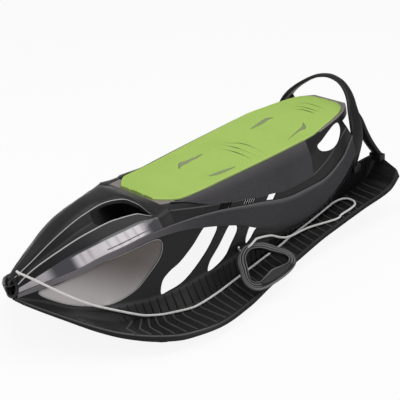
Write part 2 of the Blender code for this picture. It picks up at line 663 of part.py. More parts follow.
def turned(name, profile, sides, place, look, metallic=0.0):
    """A part turned about its own Z from a profile of (radius, height)."""
    count = len(profile)
    edges = [(k, k + 1) for k in range(count - 1)]
    if profile[0][0] > 0:
        edges.append((count - 1, 0))
    mesh = bpy.data.meshes.new(name)
    mesh.from_pydata([(r, 0, h) for r, h in profile], edges, [])
    item = link(name, mesh, look, metallic)
    item.matrix_basis = place
    screw = item.modifiers.new("Turn", "SCREW")
    screw.steps = sides
    screw.render_steps = sides
    screw.use_merge_vertices = True
    screw.merge_threshold = 0.0001
    return item


def screw_axis(along, row, side):
    point, normal = wall_point(along * LENGTH, row)
    flip = Vector((side, 1, 1))
    return point * flip, normal * flip


def screw_holes(screws, name):
    """Clearance holes round the given screws, on both sides."""
    meshes = []
    for along, row in screws:
        for side in (1, -1):
            point, normal = screw_axis(along, row, side)
            meshes.append(rod_mesh(point - normal * 2 * WALL,
                                   point + normal * (2 * GAP + SCREW_BITE),
                                   SCREW_RADIUS + 3 * GAP, 6))
    return link_tool(name, joined_mesh(name, meshes))


def make_screws():
    seat, tip = -WALL - GAP, GAP + SCREW_BITE
    profile = [(0, tip), (SCREW_RADIUS, tip), (SCREW_RADIUS, seat), (SCREW_HEAD_RADIUS, seat),
               (SCREW_HEAD_RADIUS, seat - SCREW_HEAD_HEIGHT), (0, seat - SCREW_HEAD_HEIGHT)]
    for word, side in (("left", 1), ("right", -1)):
        for k, (along, row) in enumerate(COVER_SCREWS + DECK_SCREWS + HULL_SCREWS):
            point, normal = screw_axis(along, row, side)
            place = Matrix.Translation(point) @ normal.to_track_quat("Z", "Y").to_matrix().to_4x4()
            turned(f"rail_screw_{word}_{k + 1}", profile, 6, place, STEEL, 1.0)


# Lower hull

def keel_mesh(share, start, end):
    """A runner under the tray's floor, a share of its width from the inner wall."""
    knots = np.array(KEEL_LINE)
    rings = []
    for y in spread(start * LENGTH, end * LENGTH, KEEL_STEP):
        x = float(mix(rail(FLOOR_IN, [y])[0][0], rail(RIM_TOP, [y])[0][0], share))
        floor_z = tray_floor(y, x)
        top = floor_z - WALL / 2
        bottom = min(np.interp(y / LENGTH, knots[:, 0], knots[:, 1]) * HEIGHT, top - 0.002)
        half = KEEL_WIDTH / 2
        rings.append([(x - half, y, bottom), (x + half, y, bottom), (x + half, y, top),
                      (x - half, y, top)])
    return ring_mesh("keel", rings)


def tray_floor(y, x):
    """Height of the tray's floor at a place."""
    inner, outer = rail(FLOOR_IN, [y])[0], rail(RIM_TOP, [y])[0]
    share = np.clip((x - inner[0]) / (outer[0] - inner[0]), 0, 1)
    return float(mix(inner[2], outer[2], share))


def side_x(y, z):
    """Outer face of the inner tray wall at a height."""
    low, high = rail(FLOOR_IN, [y])[0], rail(WALL_TOP, [y])[0]
    return float(mix(low[0], high[0], (z - low[2]) / (high[2] - low[2])))


def nose_pan_mesh():
    """A floor that closes the nose from below and joins the two trays."""
    start, end = PAN_SPAN
    ys = np.array(spread(start * LENGTH, end * LENGTH, PAN_STEP))
    low = rail(RIM_LOW, ys)
    edge = low + np.array([-WALL / 2, 0, WALL / 2])
    rings = []
    for row in edge:
        x, y, z = row
        top, bottom = z + PAN_THICKNESS, z
        rings.append([(-x, y, bottom), (0, y, bottom - PAN_DISH), (x, y, bottom), (x, y, top),
                      (0, y, top - PAN_DISH), (-x, y, top)])
    return ring_mesh("pan", rings)


def tail_tie_mesh():
    """A flat beam that joins the two trays at the tail."""
    y, z = TAIL_TIE[0] * LENGTH, TAIL_TIE[1] * HEIGHT
    half = side_x(y, z) - WALL / 2
    return box_mesh((0, y, z), (2 * half, TIE_DEPTH, TIE_THICKNESS))


def socket_mesh(foot, size):
    """A block on the hull that carries a foot of the rear handle, given as shares."""
    along, out, up = foot
    top = up * HEIGHT - GAP
    return box_mesh((out * HALF_WIDTH, along * LENGTH, top - SOCKET_DEPTH / 2),
                    (*size, SOCKET_DEPTH))


def make_lower_hull():
    """The foot trays with their side walls, open to the snow between the trays."""
    def keep(i, j):
        return HULL_YS[i] < SHELL_TAIL_Y or j > 2

    hull = link("lower_hull", sheet_mesh("lower_hull", hull_grid(HULL_YS), keep), BLACK_SMOOTH)
    thicken(hull, WALL, False)
    mirror(hull)
    additions = [nose_pan_mesh(), tail_tie_mesh(),
                 both_sides(socket_mesh(HOOP_PATH[0][:3], LEG_SOCKET)),
                 both_sides(socket_mesh(STAY_PATH[-1][:3], STAY_SOCKET))]
    additions += [both_sides(keel_mesh(*keel)) for keel in KEELS]
    boolean(hull, link_tool("hull_additions", joined_mesh("hull_additions", additions)), "UNION")
    outlines = [outline_yz(shares) for shares in LEG_OPENINGS + [PANEL_OUTLINE]]
    cuts = joined_mesh("hull_openings", [side_cutter(outline) for outline in outlines])
    boolean(hull, link_tool("hull_openings", cuts), "DIFFERENCE")
    boolean(hull, screw_holes(HULL_SCREWS, "hull_screw_holes"), "DIFFERENCE")


def make_nose_panels():
    """Glossy inserts in the windows of the hull's nose."""
    ys = [y for y in HULL_YS if y < JOINT_Y + 0.01]
    grid = hull_grid(ys)[:, 1:5]
    outline = offset_outline(outline_yz(PANEL_OUTLINE), GAP)
    for name, side in (("nose_panel_left", 1), ("nose_panel_right", -1)):
        sunk = grid - normals(grid) * PANEL_SINK
        panel = link(name, sheet_mesh(name, sunk, None, side), PANEL_GLOSS)
        thicken(panel, PANEL_THICKNESS, False)
        ends = sorted(side * reach for reach in CUT_REACH)
        boolean(panel, link_tool(name + "_outline", prism(outline, *ends)), "INTERSECT")


# Upper shells

def make_nose_cover():
    def keep(i, j):
        middle = (COVER_YS[i] + COVER_YS[i + 1]) / 2
        return not (GRAB_FRONT_Y < middle < GRAB_REAR_Y and j in (2, 3))

    cover = link("nose_cover", sheet_mesh("nose_cover", cover_grid(COVER_YS), keep), BLACK_SMOOTH)
    mirror(cover)
    thicken(cover, WALL, False)
    eye = Vector(ROPE_ROUTE[1])
    along = (Vector(ROPE_ROUTE[2]) - Vector(ROPE_ROUTE[0])).normalized()
    eye_hole = rod_mesh(eye - along * 4 * WALL, eye + along * 4 * WALL, ROPE_EYE_RADIUS)
    boolean(cover, link_tool("rope_eye", eye_hole), "DIFFERENCE")
    boolean(cover, screw_holes(COVER_SCREWS, "cover_screw_holes"), "DIFFERENCE")


def slot_cutters():
    """Slanted slots through the band on both flanks."""
    meshes = []
    for first, count, pitch, width, lean in BAND_SLOTS:
        for k in range(count):
            y = first + k * pitch
            low = float(rail(WAIST, [y])[0][2]) + 0.0025
            high = float(rail(BAND, [y])[0][2]) - 0.0005
            outline = [(y, low), (y + width, low - 0.25 * width),
                       (y + width + lean, high - 0.25 * width), (y + lean, high)]
            meshes.append(side_cutter(outline))
    return meshes


def deck_z(y):
    return float(rail(DECK_EDGE, [y])[0][2])


def peg_places():
    """Where the pad's pegs stand, at the height of the deck's edge."""
    spots = [(along * LENGTH, out * HALF_WIDTH) for along, out in PEG_PLACES]
    return [(side * x, y, deck_z(y)) for y, x in spots for side in (1, -1)]


def recess_mesh(margin, depth, rise):
    """A block over the pad's outline, wider by a margin, from a depth below the deck upward."""
    rings = []
    for y in pad_ys():
        end = {PAD_FRONT_Y: -margin, PAD_REAR_Y: margin}.get(y, 0.0)
        side, z = float(pad_side(y)) + margin, deck_z(y)
        rings.append([(-side, y + end, z - depth), (side, y + end, z - depth),
                      (side, y + end, z + rise), (-side, y + end, z + rise)])
    return ring_mesh("recess", rings)


def make_seat_deck():
    """The seat's bridge: a recessed top between two flanks."""
    def keep(i, j):
        return DECK_YS[i] < SHELL_TAIL_Y or j < 3

    deck = link("seat_deck", sheet_mesh("seat_deck", deck_grid(DECK_YS), keep), BLACK_SMOOTH)
    mirror(deck)
    thicken(deck, WALL, False)
    depth = PAD_THICKNESS - PAD_PROUD + GAP
    tray = recess_mesh(GAP + WALL, depth + WALL, -WALL / 2)
    boolean(deck, link_tool("deck_tray", tray), "UNION")
    boolean(deck, link_tool("deck_recess", recess_mesh(GAP, depth, 0.02)), "DIFFERENCE")
    cuts = slot_cutters() + [side_cutter(outline_yz(SIDE_HOLE))]
    boolean(deck, link_tool("deck_openings", joined_mesh("deck_openings", cuts)), "DIFFERENCE")
    holes = [rod_mesh((x, y, z - depth - 2 * WALL), (x, y, z), PEG_RADIUS + GAP)
             for x, y, z in peg_places()]
    boolean(deck, link_tool("peg_holes", joined_mesh("peg_holes", holes)), "DIFFERENCE")
    boolean(deck, screw_holes(DECK_SCREWS, "deck_screw_holes"), "DIFFERENCE")


def make_side_skins():
    """Grained skins over the flank and over the joint of the upper shells and the hull."""
    ys = np.array(SHELL_YS)
    belt = np.stack([rail(WAIST, ys), split_line(ys), rail(SKIRT, ys)], axis=1)
    ys = np.array([y for y in SHELL_YS if FLANK_PANEL_FRONT_Y < y < FLANK_PANEL_REAR_Y])
    flank = np.stack([rail(DECK_EDGE, ys), rail(FLANK, ys), rail(BAND, ys)], axis=1)
    for word, side in (("left", 1), ("right", -1)):
        name = "side_rail_" + word
        skin = link(name, sheet_mesh(name, belt + normals(belt) * GAP, None, side), BLACK_GRAINED)
        thicken(skin, SKIN, True)
        screws = COVER_SCREWS + DECK_SCREWS + HULL_SCREWS
        boolean(skin, screw_holes(screws, name + "_screw_holes"), "DIFFERENCE")
        name = "flank_panel_" + word
        panel = link(name, sheet_mesh(name, flank + normals(flank) * GAP, None, side),
                     BLACK_GRAINED)
        thicken(panel, SKIN, True)


# Seat pad

def pad_ys():
    return ([PAD_FRONT_Y, PAD_FRONT_Y + PAD_ROUND]
            + stations((-0.141, -0.104, 0.0185), (-0.085, 0.268, 0.045), (0.288, 0.426, 0.0230))
            + stations((0.4345, 0.4435, 0.009)) + [PAD_REAR_Y - PAD_ROUND, PAD_REAR_Y])


def pad_rings():
    """Sections of the pad, with rounded upper edges and a low crown."""
    rings = []
    for y in pad_ys():
        side, top = float(pad_side(y)), deck_z(y) + PAD_PROUD
        bottom = top - PAD_THICKNESS
        at_end = y in (PAD_FRONT_Y, PAD_REAR_Y)
        drop, crown = (PAD_ROUND, 0.0) if at_end else (0.0, PAD_CROWN)
        half = [(0, top - drop + crown), (0.5 * side, top - drop + 0.8 * crown),
                (side - PAD_ROUND, top - drop), (side, top - PAD_ROUND - drop),
                (side, bottom + 0.001), (side - 0.001, bottom)]
        rings.append([(x, y, z) for x, z in half] + [(-x, y, z) for x, z in half[:0:-1]])
    return rings


def arc_channel(centre_y, offset, half_angle, radius, top):
    """A curved channel that crosses the pad's middle."""
    rings = []
    for angle in np.radians(np.linspace(-half_angle, half_angle, 7)):
        taper = 0.25 + 0.75 * math.cos(angle * 90 / half_angle)
        out = Vector((math.sin(angle), -math.cos(angle) * 0.55, 0))
        middle = Vector((offset, centre_y + radius * 0.55, 0)) + out * radius
        across = Vector((math.sin(angle), -math.cos(angle), 0)) * CHANNEL_WIDTH / 2 * taper
        rings.append([(*(middle - across).xy, top - CHANNEL_DEPTH),
                      (*(middle + across).xy, top - CHANNEL_DEPTH),
                      (*(middle + across).xy, top + 0.01), (*(middle - across).xy, top + 0.01)])
    return ring_mesh("arc", rings)


def tick_channel(y, x, heading, length, top):
    """A tapering notch, wide at its start."""
    heading = math.radians(heading)
    forward = Vector((math.cos(heading), math.sin(heading), 0))
    across = Vector((-forward.y, forward.x, 0))
    outline = [(0, -0.004), (0.15, -0.0045), (1.0, 0.0), (0.15, 0.001), (0.0, 0.003)]
    rings = []
    for z in (top - CHANNEL_DEPTH, top + 0.01):
        rings.append([(*(Vector((x, y, 0)) + forward * a * length + across * b).xy, z)
                      for a, b in outline])
    return ring_mesh("tick", rings)


def make_seat_pad():
    pad = link("seat_pad", ring_mesh("seat_pad", pad_rings()), LIME)
    pegs = []
    for x, y, z in peg_places():
        bottom = z + PAD_PROUD - PAD_THICKNESS
        pegs.append(rod_mesh((x, y, bottom - PEG_LENGTH), (x, y, bottom + PAD_THICKNESS / 3),
                             PEG_RADIUS))
    boolean(pad, link_tool("pad_pegs", joined_mesh("pad_pegs", pegs)), "UNION")
    channels = []
    for centre_y, offset, half_angle, radius, count, pitch in PAD_ARCS:
        for k in range(count):
            y = centre_y + k * pitch
            top = deck_z(y) + PAD_PROUD + PAD_CROWN
            channels.append(arc_channel(y, offset - 0.006 * k, half_angle - 6 * k, radius, top))
    for y, x, heading, length in PAD_TICKS:
        top = deck_z(y + length / 2) + PAD_PROUD + PAD_CROWN / 2
        channels.append(tick_channel(y, x, heading, length, top))
    boolean(pad, link_tool("pad_channels", joined_mesh("pad_channels", channels)), "DIFFERENCE")


def make_pad_clips():
    """Push-on washers on the pad's pegs, under the deck and square to its slope."""
    bore = PEG_RADIUS + GAP
    profile = [(bore, 0), (CLIP_RADIUS, 0), (CLIP_RADIUS, -CLIP_THICKNESS),
               (bore, -CLIP_THICKNESS)]
    for k, (x, y, z) in enumerate(peg_places()):
        slope = (deck_z(y + 0.01) - deck_z(y - 0.01)) / 0.02
        under = z + PAD_PROUD - PAD_THICKNESS - GAP - WALL - GAP - abs(slope) * CLIP_RADIUS
        turned(f"pad_clip_{k + 1}", profile, 10, Matrix.Translation((x, y, under)), BLACK_SMOOTH)


# Rear handle

def hoop_rings():
    path = np.array([(out * HALF_WIDTH, along * LENGTH, up * HEIGHT, width, thickness)
                     for along, out, up, width, thickness in HOOP_PATH])
    whole = np.vstack([path, path[-2::-1] * np.array([-1, 1, 1, 1, 1])])
    fine = smooth_stations(whole, 2)
    rings = []
    for k, (x, y, z, width, thickness) in enumerate(fine):
        ahead = fine[min(k + 1, len(fine) - 1)][:3] - fine[max(k - 1, 0)][:3]
        at_foot = k in (0, len(fine) - 1)
        ahead = Vector((0 if at_foot else ahead[0], 0, ahead[2])).normalized()
        out = Vector((ahead.z, 0, -ahead.x))
        ring = []
        for angle in np.linspace(0, 2 * math.pi, 10, endpoint=False):
            c, s = math.cos(angle), math.sin(angle)
            c, s = math.copysign(abs(c) ** 0.7, c), math.copysign(abs(s) ** 0.7, s)
            ring.append(Vector((x, y, z)) + Vector((0, 1, 0)) * c * width / 2
                        + out * s * thickness / 2)
        rings.append(ring)
    return rings


def stay_mesh():
    rings = []
    for along, out, up, half_width in STAY_PATH:
        x, y, z = out * HALF_WIDTH, along * LENGTH, up * HEIGHT
        rings.append([(x + half_width * math.cos(a), y + STAY_HALF_DEPTH * math.sin(a), z)
                      for a in np.linspace(0, 2 * math.pi, 10, endpoint=False)])
    return ring_mesh("stay", rings)


def make_rear_handle():
    handle = link("rear_handle", ring_mesh("rear_handle", hoop_rings()), BLACK_GRAINED)
    stays = both_sides(stay_mesh())
    boolean(handle, link_tool("rear_stays", stays), "UNION")


# Tow rope, knots and handle

def tube(name, points, radius):
    """A rope as a mesh swept along its points."""
    curve = bpy.data.curves.new(name, "CURVE")
    curve.dimensions = "3D"
    curve.bevel_depth = radius
    curve.bevel_resolution = 2
    curve.use_fill_caps = True
    spline = curve.splines.new("POLY")
    spline.points.add(len(points) - 1)
    for spot, point in zip(spline.points, points):
        spot.co = (*point, 1.0)
    item = bpy.data.objects.new(name, curve)
    PARTS.objects.link(item)
    item.parent = FRAME
    curve.materials.append(material(name, ROPE_WHITE))
    return item


def handle_frame():
    """Axes of the tow handle: X from the rope hole toward the grip, Z out of its face."""
    toward = Vector((math.cos(HANDLE_TURN) * math.cos(HANDLE_TILT),
                     math.sin(HANDLE_TURN) * math.cos(HANDLE_TILT), -math.sin(HANDLE_TILT)))
    across = Vector((-math.sin(HANDLE_TURN), math.cos(HANDLE_TURN), 0))
    face = toward.cross(across)
    return Matrix((toward, across, face)).transposed().to_4x4()


def two_sided(half):
    """A closed loop from the half of an outline that runs along +Y."""
    return smooth_loop(half + [(x, -y) for x, y in half[-2:0:-1]], 2)


def handle_outer():
    w, r = GRIP_WIDTH / 2, GRIP_REACH
    return two_sided([(-HANDLE_NOSE, 0.0), (-0.75 * HANDLE_NOSE, 0.19 * w), (0.05 * r, 0.48 * w),
                      (0.17 * r, 0.65 * w), (0.34 * r, 0.79 * w), (0.54 * r, 0.96 * w),
                      (0.68 * r, w), (0.82 * r, 0.95 * w), (0.92 * r, 0.81 * w),
                      (0.97 * r, 0.60 * w), (0.995 * r, 0.30 * w), (r, 0.0)])


def handle_inner():
    w, r = GRIP_WIDTH / 2, GRIP_REACH
    near, far = HANDLE_ARM - HANDLE_NOSE, r - HANDLE_GRIP_ARM
    return two_sided([(near, 0.0), (near + 0.002, 0.14 * w), (0.16 * r, 0.32 * w),
                      (0.26 * r, 0.44 * w), (0.38 * r, 0.55 * w), (0.51 * r, 0.69 * w),
                      (0.62 * r, 0.785 * w), (0.72 * r, 0.77 * w), (far + 0.0075, 0.61 * w),
                      (far + 0.005, 0.39 * w), (far + 0.0025, 0.21 * w), (far, 0.0)])


def slab(outline, low, high):
    """A flat solid between two heights over the handle's own plane."""
    mesh = flat_mesh(outline, high - low)
    mesh.transform(Matrix.Translation((0, 0, (low + high) / 2)))
    return mesh


def grip_plate_outline(shrink):
    """An inset that follows the grip's arm, inside its edges by a margin."""
    w, r = GRIP_WIDTH / 2, GRIP_REACH
    inner, outer = r - HANDLE_GRIP_ARM + GRIP_PLATE_MARGIN + shrink, r - GRIP_PLATE_MARGIN - shrink
    return two_sided([(inner, 0.0), (inner + 0.004, 0.30 * w), (inner + 0.0075, 0.55 * w - shrink),
                      (0.845 * r, 0.66 * w - shrink), (outer - 0.005, 0.55 * w - shrink),
                      (outer - 0.001, 0.30 * w), (outer, 0.0)])


def make_tow_handle():
    """A rounded triangle with a wide grip arm, and a rope hole through its apex."""
    place = Matrix.Translation(HANDLE_PIVOT) @ handle_frame()
    half = HANDLE_THICKNESS / 2
    handle = link("tow_handle", slab(handle_outer(), -half, half), BLACK_SMOOTH)
    handle.matrix_basis = place
    bevel = handle.modifiers.new("Edges", "BEVEL")
    bevel.width = 0.002
    bevel.segments = 1
    bevel.limit_method = "ANGLE"
    bevel.angle_limit = math.radians(50)
    cuts = {"handle_opening": slab(handle_inner(), -2 * half, 2 * half),
            "grip_pocket": slab(grip_plate_outline(0.0), half - GRIP_PLATE_DEPTH, 3 * half),
            "rope_bore": rod_mesh((0, 0, -2 * half), (0, 0, 2 * half), ROPE_HOLE_RADIUS)}
    for name, mesh in cuts.items():
        tool = link_tool(name, mesh)
        tool.matrix_basis = place
        boolean(handle, tool, "DIFFERENCE")
    plate = link("grip_plate", slab(grip_plate_outline(GAP), half - GRIP_PLATE_DEPTH + GAP,
                                    half + GRIP_PLATE_PROUD), BLACK_GRAINED)
    plate.matrix_basis = place


def knot_mesh(face, axis, radius):
    """A tight knot as a squashed ball, its flat face centred at a point and facing an axis."""
    turn = axis.to_track_quat("Z", "Y").to_matrix()
    rings = []
    for level, share in [(0, 0.62), (-0.25, 0.86), (-0.65, 1.0), (-1.05, 1.0), (-1.45, 0.8),
                         (-1.65, 0.5)]:
        rings.append([face + turn @ Vector((share * radius * math.cos(a),
                                            share * radius * math.sin(a), level * radius))
                      for a in np.linspace(0, 2 * math.pi, 10, endpoint=False)])
    return ring_mesh("knot", rings)


def tail_mesh(points):
    """A short rope end as a swept solid."""
    path = [Vector(p) for p in points]
    rings = []
    for k, point in enumerate(path):
        ahead = (path[min(k + 1, len(path) - 1)] - path[max(k - 1, 0)]).normalized()
        turn = ahead.to_track_quat("Z", "Y").to_matrix()
        rings.append([point + turn @ Vector((ROPE_RADIUS * math.cos(a), ROPE_RADIUS * math.sin(a),
                                             0))
                      for a in np.linspace(0, 2 * math.pi, 8, endpoint=False)])
    return ring_mesh("tail", rings)


def make_nose_knot():
    """The knot inside the nose, whose tail hangs out of the nose's slot."""
    end, inner = Vector(ROPE_ROUTE[0]), Vector(ROPE_ROUTE[1])
    axis = (inner - end).normalized()
    knot = link("nose_knot", knot_mesh(end - axis * GAP, axis, NOSE_KNOT_RADIUS), ROPE_WHITE)
    boolean(knot, link_tool("nose_knot_tail", tail_mesh(NOSE_TAIL)), "UNION")


def make_handle_knot():
    """The knot under the handle's apex, where the rope comes through."""
    half = HANDLE_THICKNESS / 2
    mesh = knot_mesh(Vector((0, 0, -half - GAP)), Vector((0, 0, 1)), HANDLE_KNOT_RADIUS)
    knot = link("handle_knot", mesh, ROPE_WHITE)
    tail = link_tool("handle_knot_tail", tail_mesh(HANDLE_TAIL))
    for item in (knot, tail):
        item.matrix_basis = Matrix.Translation(HANDLE_PIVOT) @ handle_frame()
    boolean(knot, tail, "UNION")


def make_rope():
    """The long stretch of rope and the short one that bends with the handle."""
    per_span = 16
    fine = smooth_stations(ROPE_ROUTE + ROPE_END_ROUTE, per_span)
    split = (len(ROPE_ROUTE) - 1) * per_span
    tube("tow_rope", resampled(fine[:split + 1], ROPE_STEP), ROPE_RADIUS)
    bending = resampled(fine[split:], ROPE_END_STEP)
    ahead = bending[1] - bending[0]
    bending[0] += ahead / np.linalg.norm(ahead) * GAP
    tube("rope_end", bending, ROPE_RADIUS)


make_lower_hull()
make_nose_panels()
make_nose_cover()
make_seat_deck()
make_side_skins()
make_screws()
make_seat_pad()
make_pad_clips()
make_rear_handle()
make_tow_handle()
make_nose_knot()
make_handle_knot()
make_rope()
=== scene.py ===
# %% [markdown]
# # A moulded snow sled
# The sled is black polypropylene with a lime foam pad, a white rope and a triangular handle.
# A frame that was drawn as CAD is loaded first and stays as it is. Each surface that shows is
# then drawn again, finer, on the same lines, and gets a finish of its own.

# %% Load the frame
import math
import bmesh
import bpy
import numpy as np
from mathutils import Matrix, Vector


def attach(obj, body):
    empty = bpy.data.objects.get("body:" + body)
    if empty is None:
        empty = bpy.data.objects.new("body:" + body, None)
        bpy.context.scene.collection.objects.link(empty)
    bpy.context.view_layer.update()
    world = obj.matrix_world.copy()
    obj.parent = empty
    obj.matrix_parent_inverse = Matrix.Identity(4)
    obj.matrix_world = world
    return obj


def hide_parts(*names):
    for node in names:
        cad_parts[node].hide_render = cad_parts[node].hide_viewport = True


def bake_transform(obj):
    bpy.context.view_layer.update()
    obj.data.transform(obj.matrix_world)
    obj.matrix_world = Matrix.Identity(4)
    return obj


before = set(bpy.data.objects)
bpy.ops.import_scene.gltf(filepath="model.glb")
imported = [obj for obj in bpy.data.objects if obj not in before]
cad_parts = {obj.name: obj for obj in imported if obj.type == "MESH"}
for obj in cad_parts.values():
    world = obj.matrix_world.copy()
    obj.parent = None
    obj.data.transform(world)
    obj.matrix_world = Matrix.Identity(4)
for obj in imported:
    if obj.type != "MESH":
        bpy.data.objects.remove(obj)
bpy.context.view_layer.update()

LENGTH, HALF_WIDTH, HEIGHT = 1.008, 0.286, 0.335
SHIFT = Vector((0, -0.0028, 0))
WALL = 0.003
GAP = 0.0003
print("loaded", len(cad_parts), "nodes")

# %% [markdown]
# ## Camera
# The view was worked out from the photograph: it looks along the sled from its front left, a
# little tilted. Three axes at right angles make the camera's turn, so nothing has to be aimed.

# %% Camera
AZIMUTH, ELEVATION, ROLL = (math.radians(angle) for angle in (48.417, 24.30, -4.101))
back = Vector((math.sin(AZIMUTH) * math.cos(ELEVATION), -math.cos(AZIMUTH) * math.cos(ELEVATION),
               math.sin(ELEVATION)))
level = Vector((math.cos(AZIMUTH), math.sin(AZIMUTH), 0))
upward = back.cross(level)
side_axis = level * math.cos(ROLL) + upward * math.sin(ROLL)
top_axis = upward * math.cos(ROLL) - level * math.sin(ROLL)

camera = bpy.data.objects.new("camera", bpy.data.cameras.new("camera"))
bpy.context.scene.collection.objects.link(camera)
bpy.context.scene.camera = camera
camera.data.lens = 107.17
camera.data.sensor_width = 36
camera.matrix_world = (Matrix.Translation(Vector((0.097, -0.0638, 0.204)) + back * 2.582)
                       @ Matrix((side_axis, top_axis, back)).transposed().to_4x4())
print("camera at", [round(x, 3) for x in camera.location])

# %% [markdown]
# ## Writing finishes as formulas
# A finish is a small graph of nodes. Long lists of links are hard to read, so `Tap` stands for
# one output of a node, and adding or multiplying taps adds Math nodes. `Graph` makes every
# other node from its type, its settings and what its sockets take.

# %% Formulas for nodes
def linear(red, green, blue):
    """Screen colours from 0 to 255 as the linear values that shaders use."""
    values = []
    for share in (red / 255, green / 255, blue / 255):
        values.append(share / 12.92 if share <= 0.04045 else ((share + 0.055) / 1.055) ** 2.4)
    return (*values, 1.0)


class Tap:
    """One output of a node; arithmetic on it adds Math nodes."""

    def __init__(self, graph, socket):
        self.graph = graph
        self.socket = socket

    def math(self, operation, first, second):
        return self.graph.node("ShaderNodeMath", {"operation": operation},
                               {0: first, 1: second})

    def __add__(self, other):
        return self.math("ADD", self, other)

    def __radd__(self, other):
        return self.math("ADD", other, self)

    def __sub__(self, other):
        return self.math("SUBTRACT", self, other)

    def __rsub__(self, other):
        return self.math("SUBTRACT", other, self)

    def __mul__(self, other):
        return self.math("MULTIPLY", self, other)

    def __rmul__(self, other):
        return self.math("MULTIPLY", other, self)


class Graph:
    """A tree of nodes, of a material or of the world."""

    def __init__(self, tree):
        self.tree = tree

    def node(self, kind, settings, inputs, output=0):
        made = self.tree.nodes.new(kind)
        for name, value in settings.items():
            setattr(made, name, value)
        for socket, value in inputs.items():
            if isinstance(value, Tap):
                self.tree.links.new(value.socket, made.inputs[socket])
            else:
                made.inputs[socket].default_value = value
        return Tap(self, made.outputs[output])


print("formula tools ready")

# %% [markdown]
# A moulded plastic is never one flat colour. `Finish` can speckle a surface, paint over it by a
# share, lift it by a height, and read a mark that the corners of a grid carry.


# %% Finish tools
class Finish(Graph):
    """A material round one Principled shader, built as a recipe."""

    def __init__(self, name, colour, roughness, metallic=0.0, coat=0.0):
        self.material = bpy.data.materials.new(name)
        self.material.use_nodes = True
        super().__init__(self.material.node_tree)
        self.shader = self.tree.nodes["Principled BSDF"]
        self.colour = linear(*colour)
        for socket, value in (("Base Color", self.colour), ("Roughness", roughness),
                              ("Metallic", metallic), ("Coat Weight", coat),
                              ("Coat Roughness", 0.1)):
            self.shader.inputs[socket].default_value = value

    def place(self):
        """Where a point is on the object, in metres."""
        return self.node("ShaderNodeTexCoord", {}, {}, "Object")

    def axis(self, letter):
        """One coordinate of that place."""
        return self.node("ShaderNodeSeparateXYZ", {}, {"Vector": self.place()}, letter)

    def mark(self, name):
        """A value that the corners of a grid carry."""
        return self.node("ShaderNodeAttribute", {"attribute_name": name}, {}, "Fac")

    def noise(self, scale, detail=2.0):
        return self.node("ShaderNodeTexNoise", {}, {"Vector": self.place(), "Scale": scale,
                                                    "Detail": detail}, "Fac")

    def step(self, value, low, high, first=0.0, last=1.0):
        """From first to last, softly, while a value goes from low to high."""
        return self.node("ShaderNodeMapRange", {"interpolation_type": "SMOOTHSTEP"},
                         {"Value": value, "From Min": low, "From Max": high,
                          "To Min": first, "To Max": last})

    def blend(self, share, first, second):
        """A colour between two, by a share from 0 to 1."""
        return self.node("ShaderNodeMix", {"data_type": "RGBA"},
                         {"Factor": share, "A": first, "B": second}, 2)

    def link(self, tap, socket):
        self.tree.links.new(tap.socket, self.shader.inputs[socket])
        return self

    def speckle(self, colour, scale, share=1.0):
        """Fine spots of a second colour, as moulded grain shows."""
        spots = self.step(self.noise(scale), 0.42, 0.60, 0.0, share)
        self.paint(spots, colour)
        return self

    def paint(self, share, colour):
        """Lays a colour over what is there, by a share from 0 to 1."""
        socket = self.shader.inputs["Base Color"]
        below = Tap(self, socket.links[0].from_socket) if socket.is_linked else self.colour
        self.link(self.blend(share, below, linear(*colour)), "Base Color")
        return self

    def relief(self, height, depth):
        """Bumps as high as a depth in metres where the height is 1."""
        bump = self.node("ShaderNodeBump", {}, {"Height": height, "Distance": depth,
                                                "Strength": 1.0})
        return self.link(bump, "Normal")


print("finish tools ready")

# %% [markdown]
# ## The finishes
# Photographs of black plastic are never black. Its grain scatters light, its edges catch light,
# which is painted on as a highlight, and broad soft areas come out dark grey. Every finish below
# starts from a colour as it looks on screen and adds grain, a painted edge highlight and unevenness at
# real scale.

# %% Black plastics
def black_plastic(name, colour, roughness, edge=(150, 148, 147), grain=1400, depth=0.00004,
                  spots=None):
    finish = Finish(name, colour, roughness)
    finish.shader.inputs["Specular IOR Level"].default_value = 0.32
    if spots:
        finish.speckle(spots, grain)
    broad = finish.noise(7.0, 3.0)
    finish.paint(finish.step(broad, 0.45, 0.75, 0.0, 0.35), tuple(0.7 * c for c in colour))
    # Painted highlight: the edge colour is laid over the corners that carry the painted_highlight mark.
    finish.paint(finish.mark("painted_highlight") * 0.85, edge)
    if depth:
        finish.relief(finish.noise(grain, 3.0), depth)
    finish.link(roughness + finish.noise(60.0) * 0.12 - 0.06, "Roughness")
    return finish


# Each edge colour below is the colour of that plastic's painted edge highlight.
hull_black = black_plastic("hull_black", (20, 20, 21), 0.42, edge=(96, 94, 94))
cover_black = black_plastic("cover_black", (24, 23, 25), 0.36, edge=(205, 203, 202))
deck_black = black_plastic("deck_black", (22, 21, 23), 0.40)
flank_black = black_plastic("flank_black", (50, 48, 50), 0.55, edge=(110, 108, 108), grain=700,
                            depth=0.00012, spots=(68, 66, 69))
handle_black = black_plastic("handle_black", (22, 21, 22), 0.38, edge=(150, 148, 147))
hoop_black = black_plastic("hoop_black", (18, 17, 17), 0.36)

belt_black = black_plastic("belt_black", (42, 41, 43), 0.50, edge=(140, 138, 139), grain=700,
                           depth=0.00012, spots=(55, 53, 56))
# Painted sheen: the belt is lighter toward the nose.
nose_sheen = belt_black.step(belt_black.axis("Y"), -0.50, -0.06, 0.85, 0.0)
belt_black.paint(nose_sheen, (118, 114, 117))

tray_black = black_plastic("tray_black", (16, 16, 17), 0.40, edge=(120, 118, 118), depth=0)
cells = tray_black.node("ShaderNodeTexVoronoi", {"feature": "F1", "distance": "MANHATTAN"},
                        {"Vector": tray_black.place(), "Scale": 150.0, "Randomness": 0.0}, 0)
tray_black.relief(tray_black.step(cells, 0.25, 0.55, 1.0, 0.0), 0.0006)

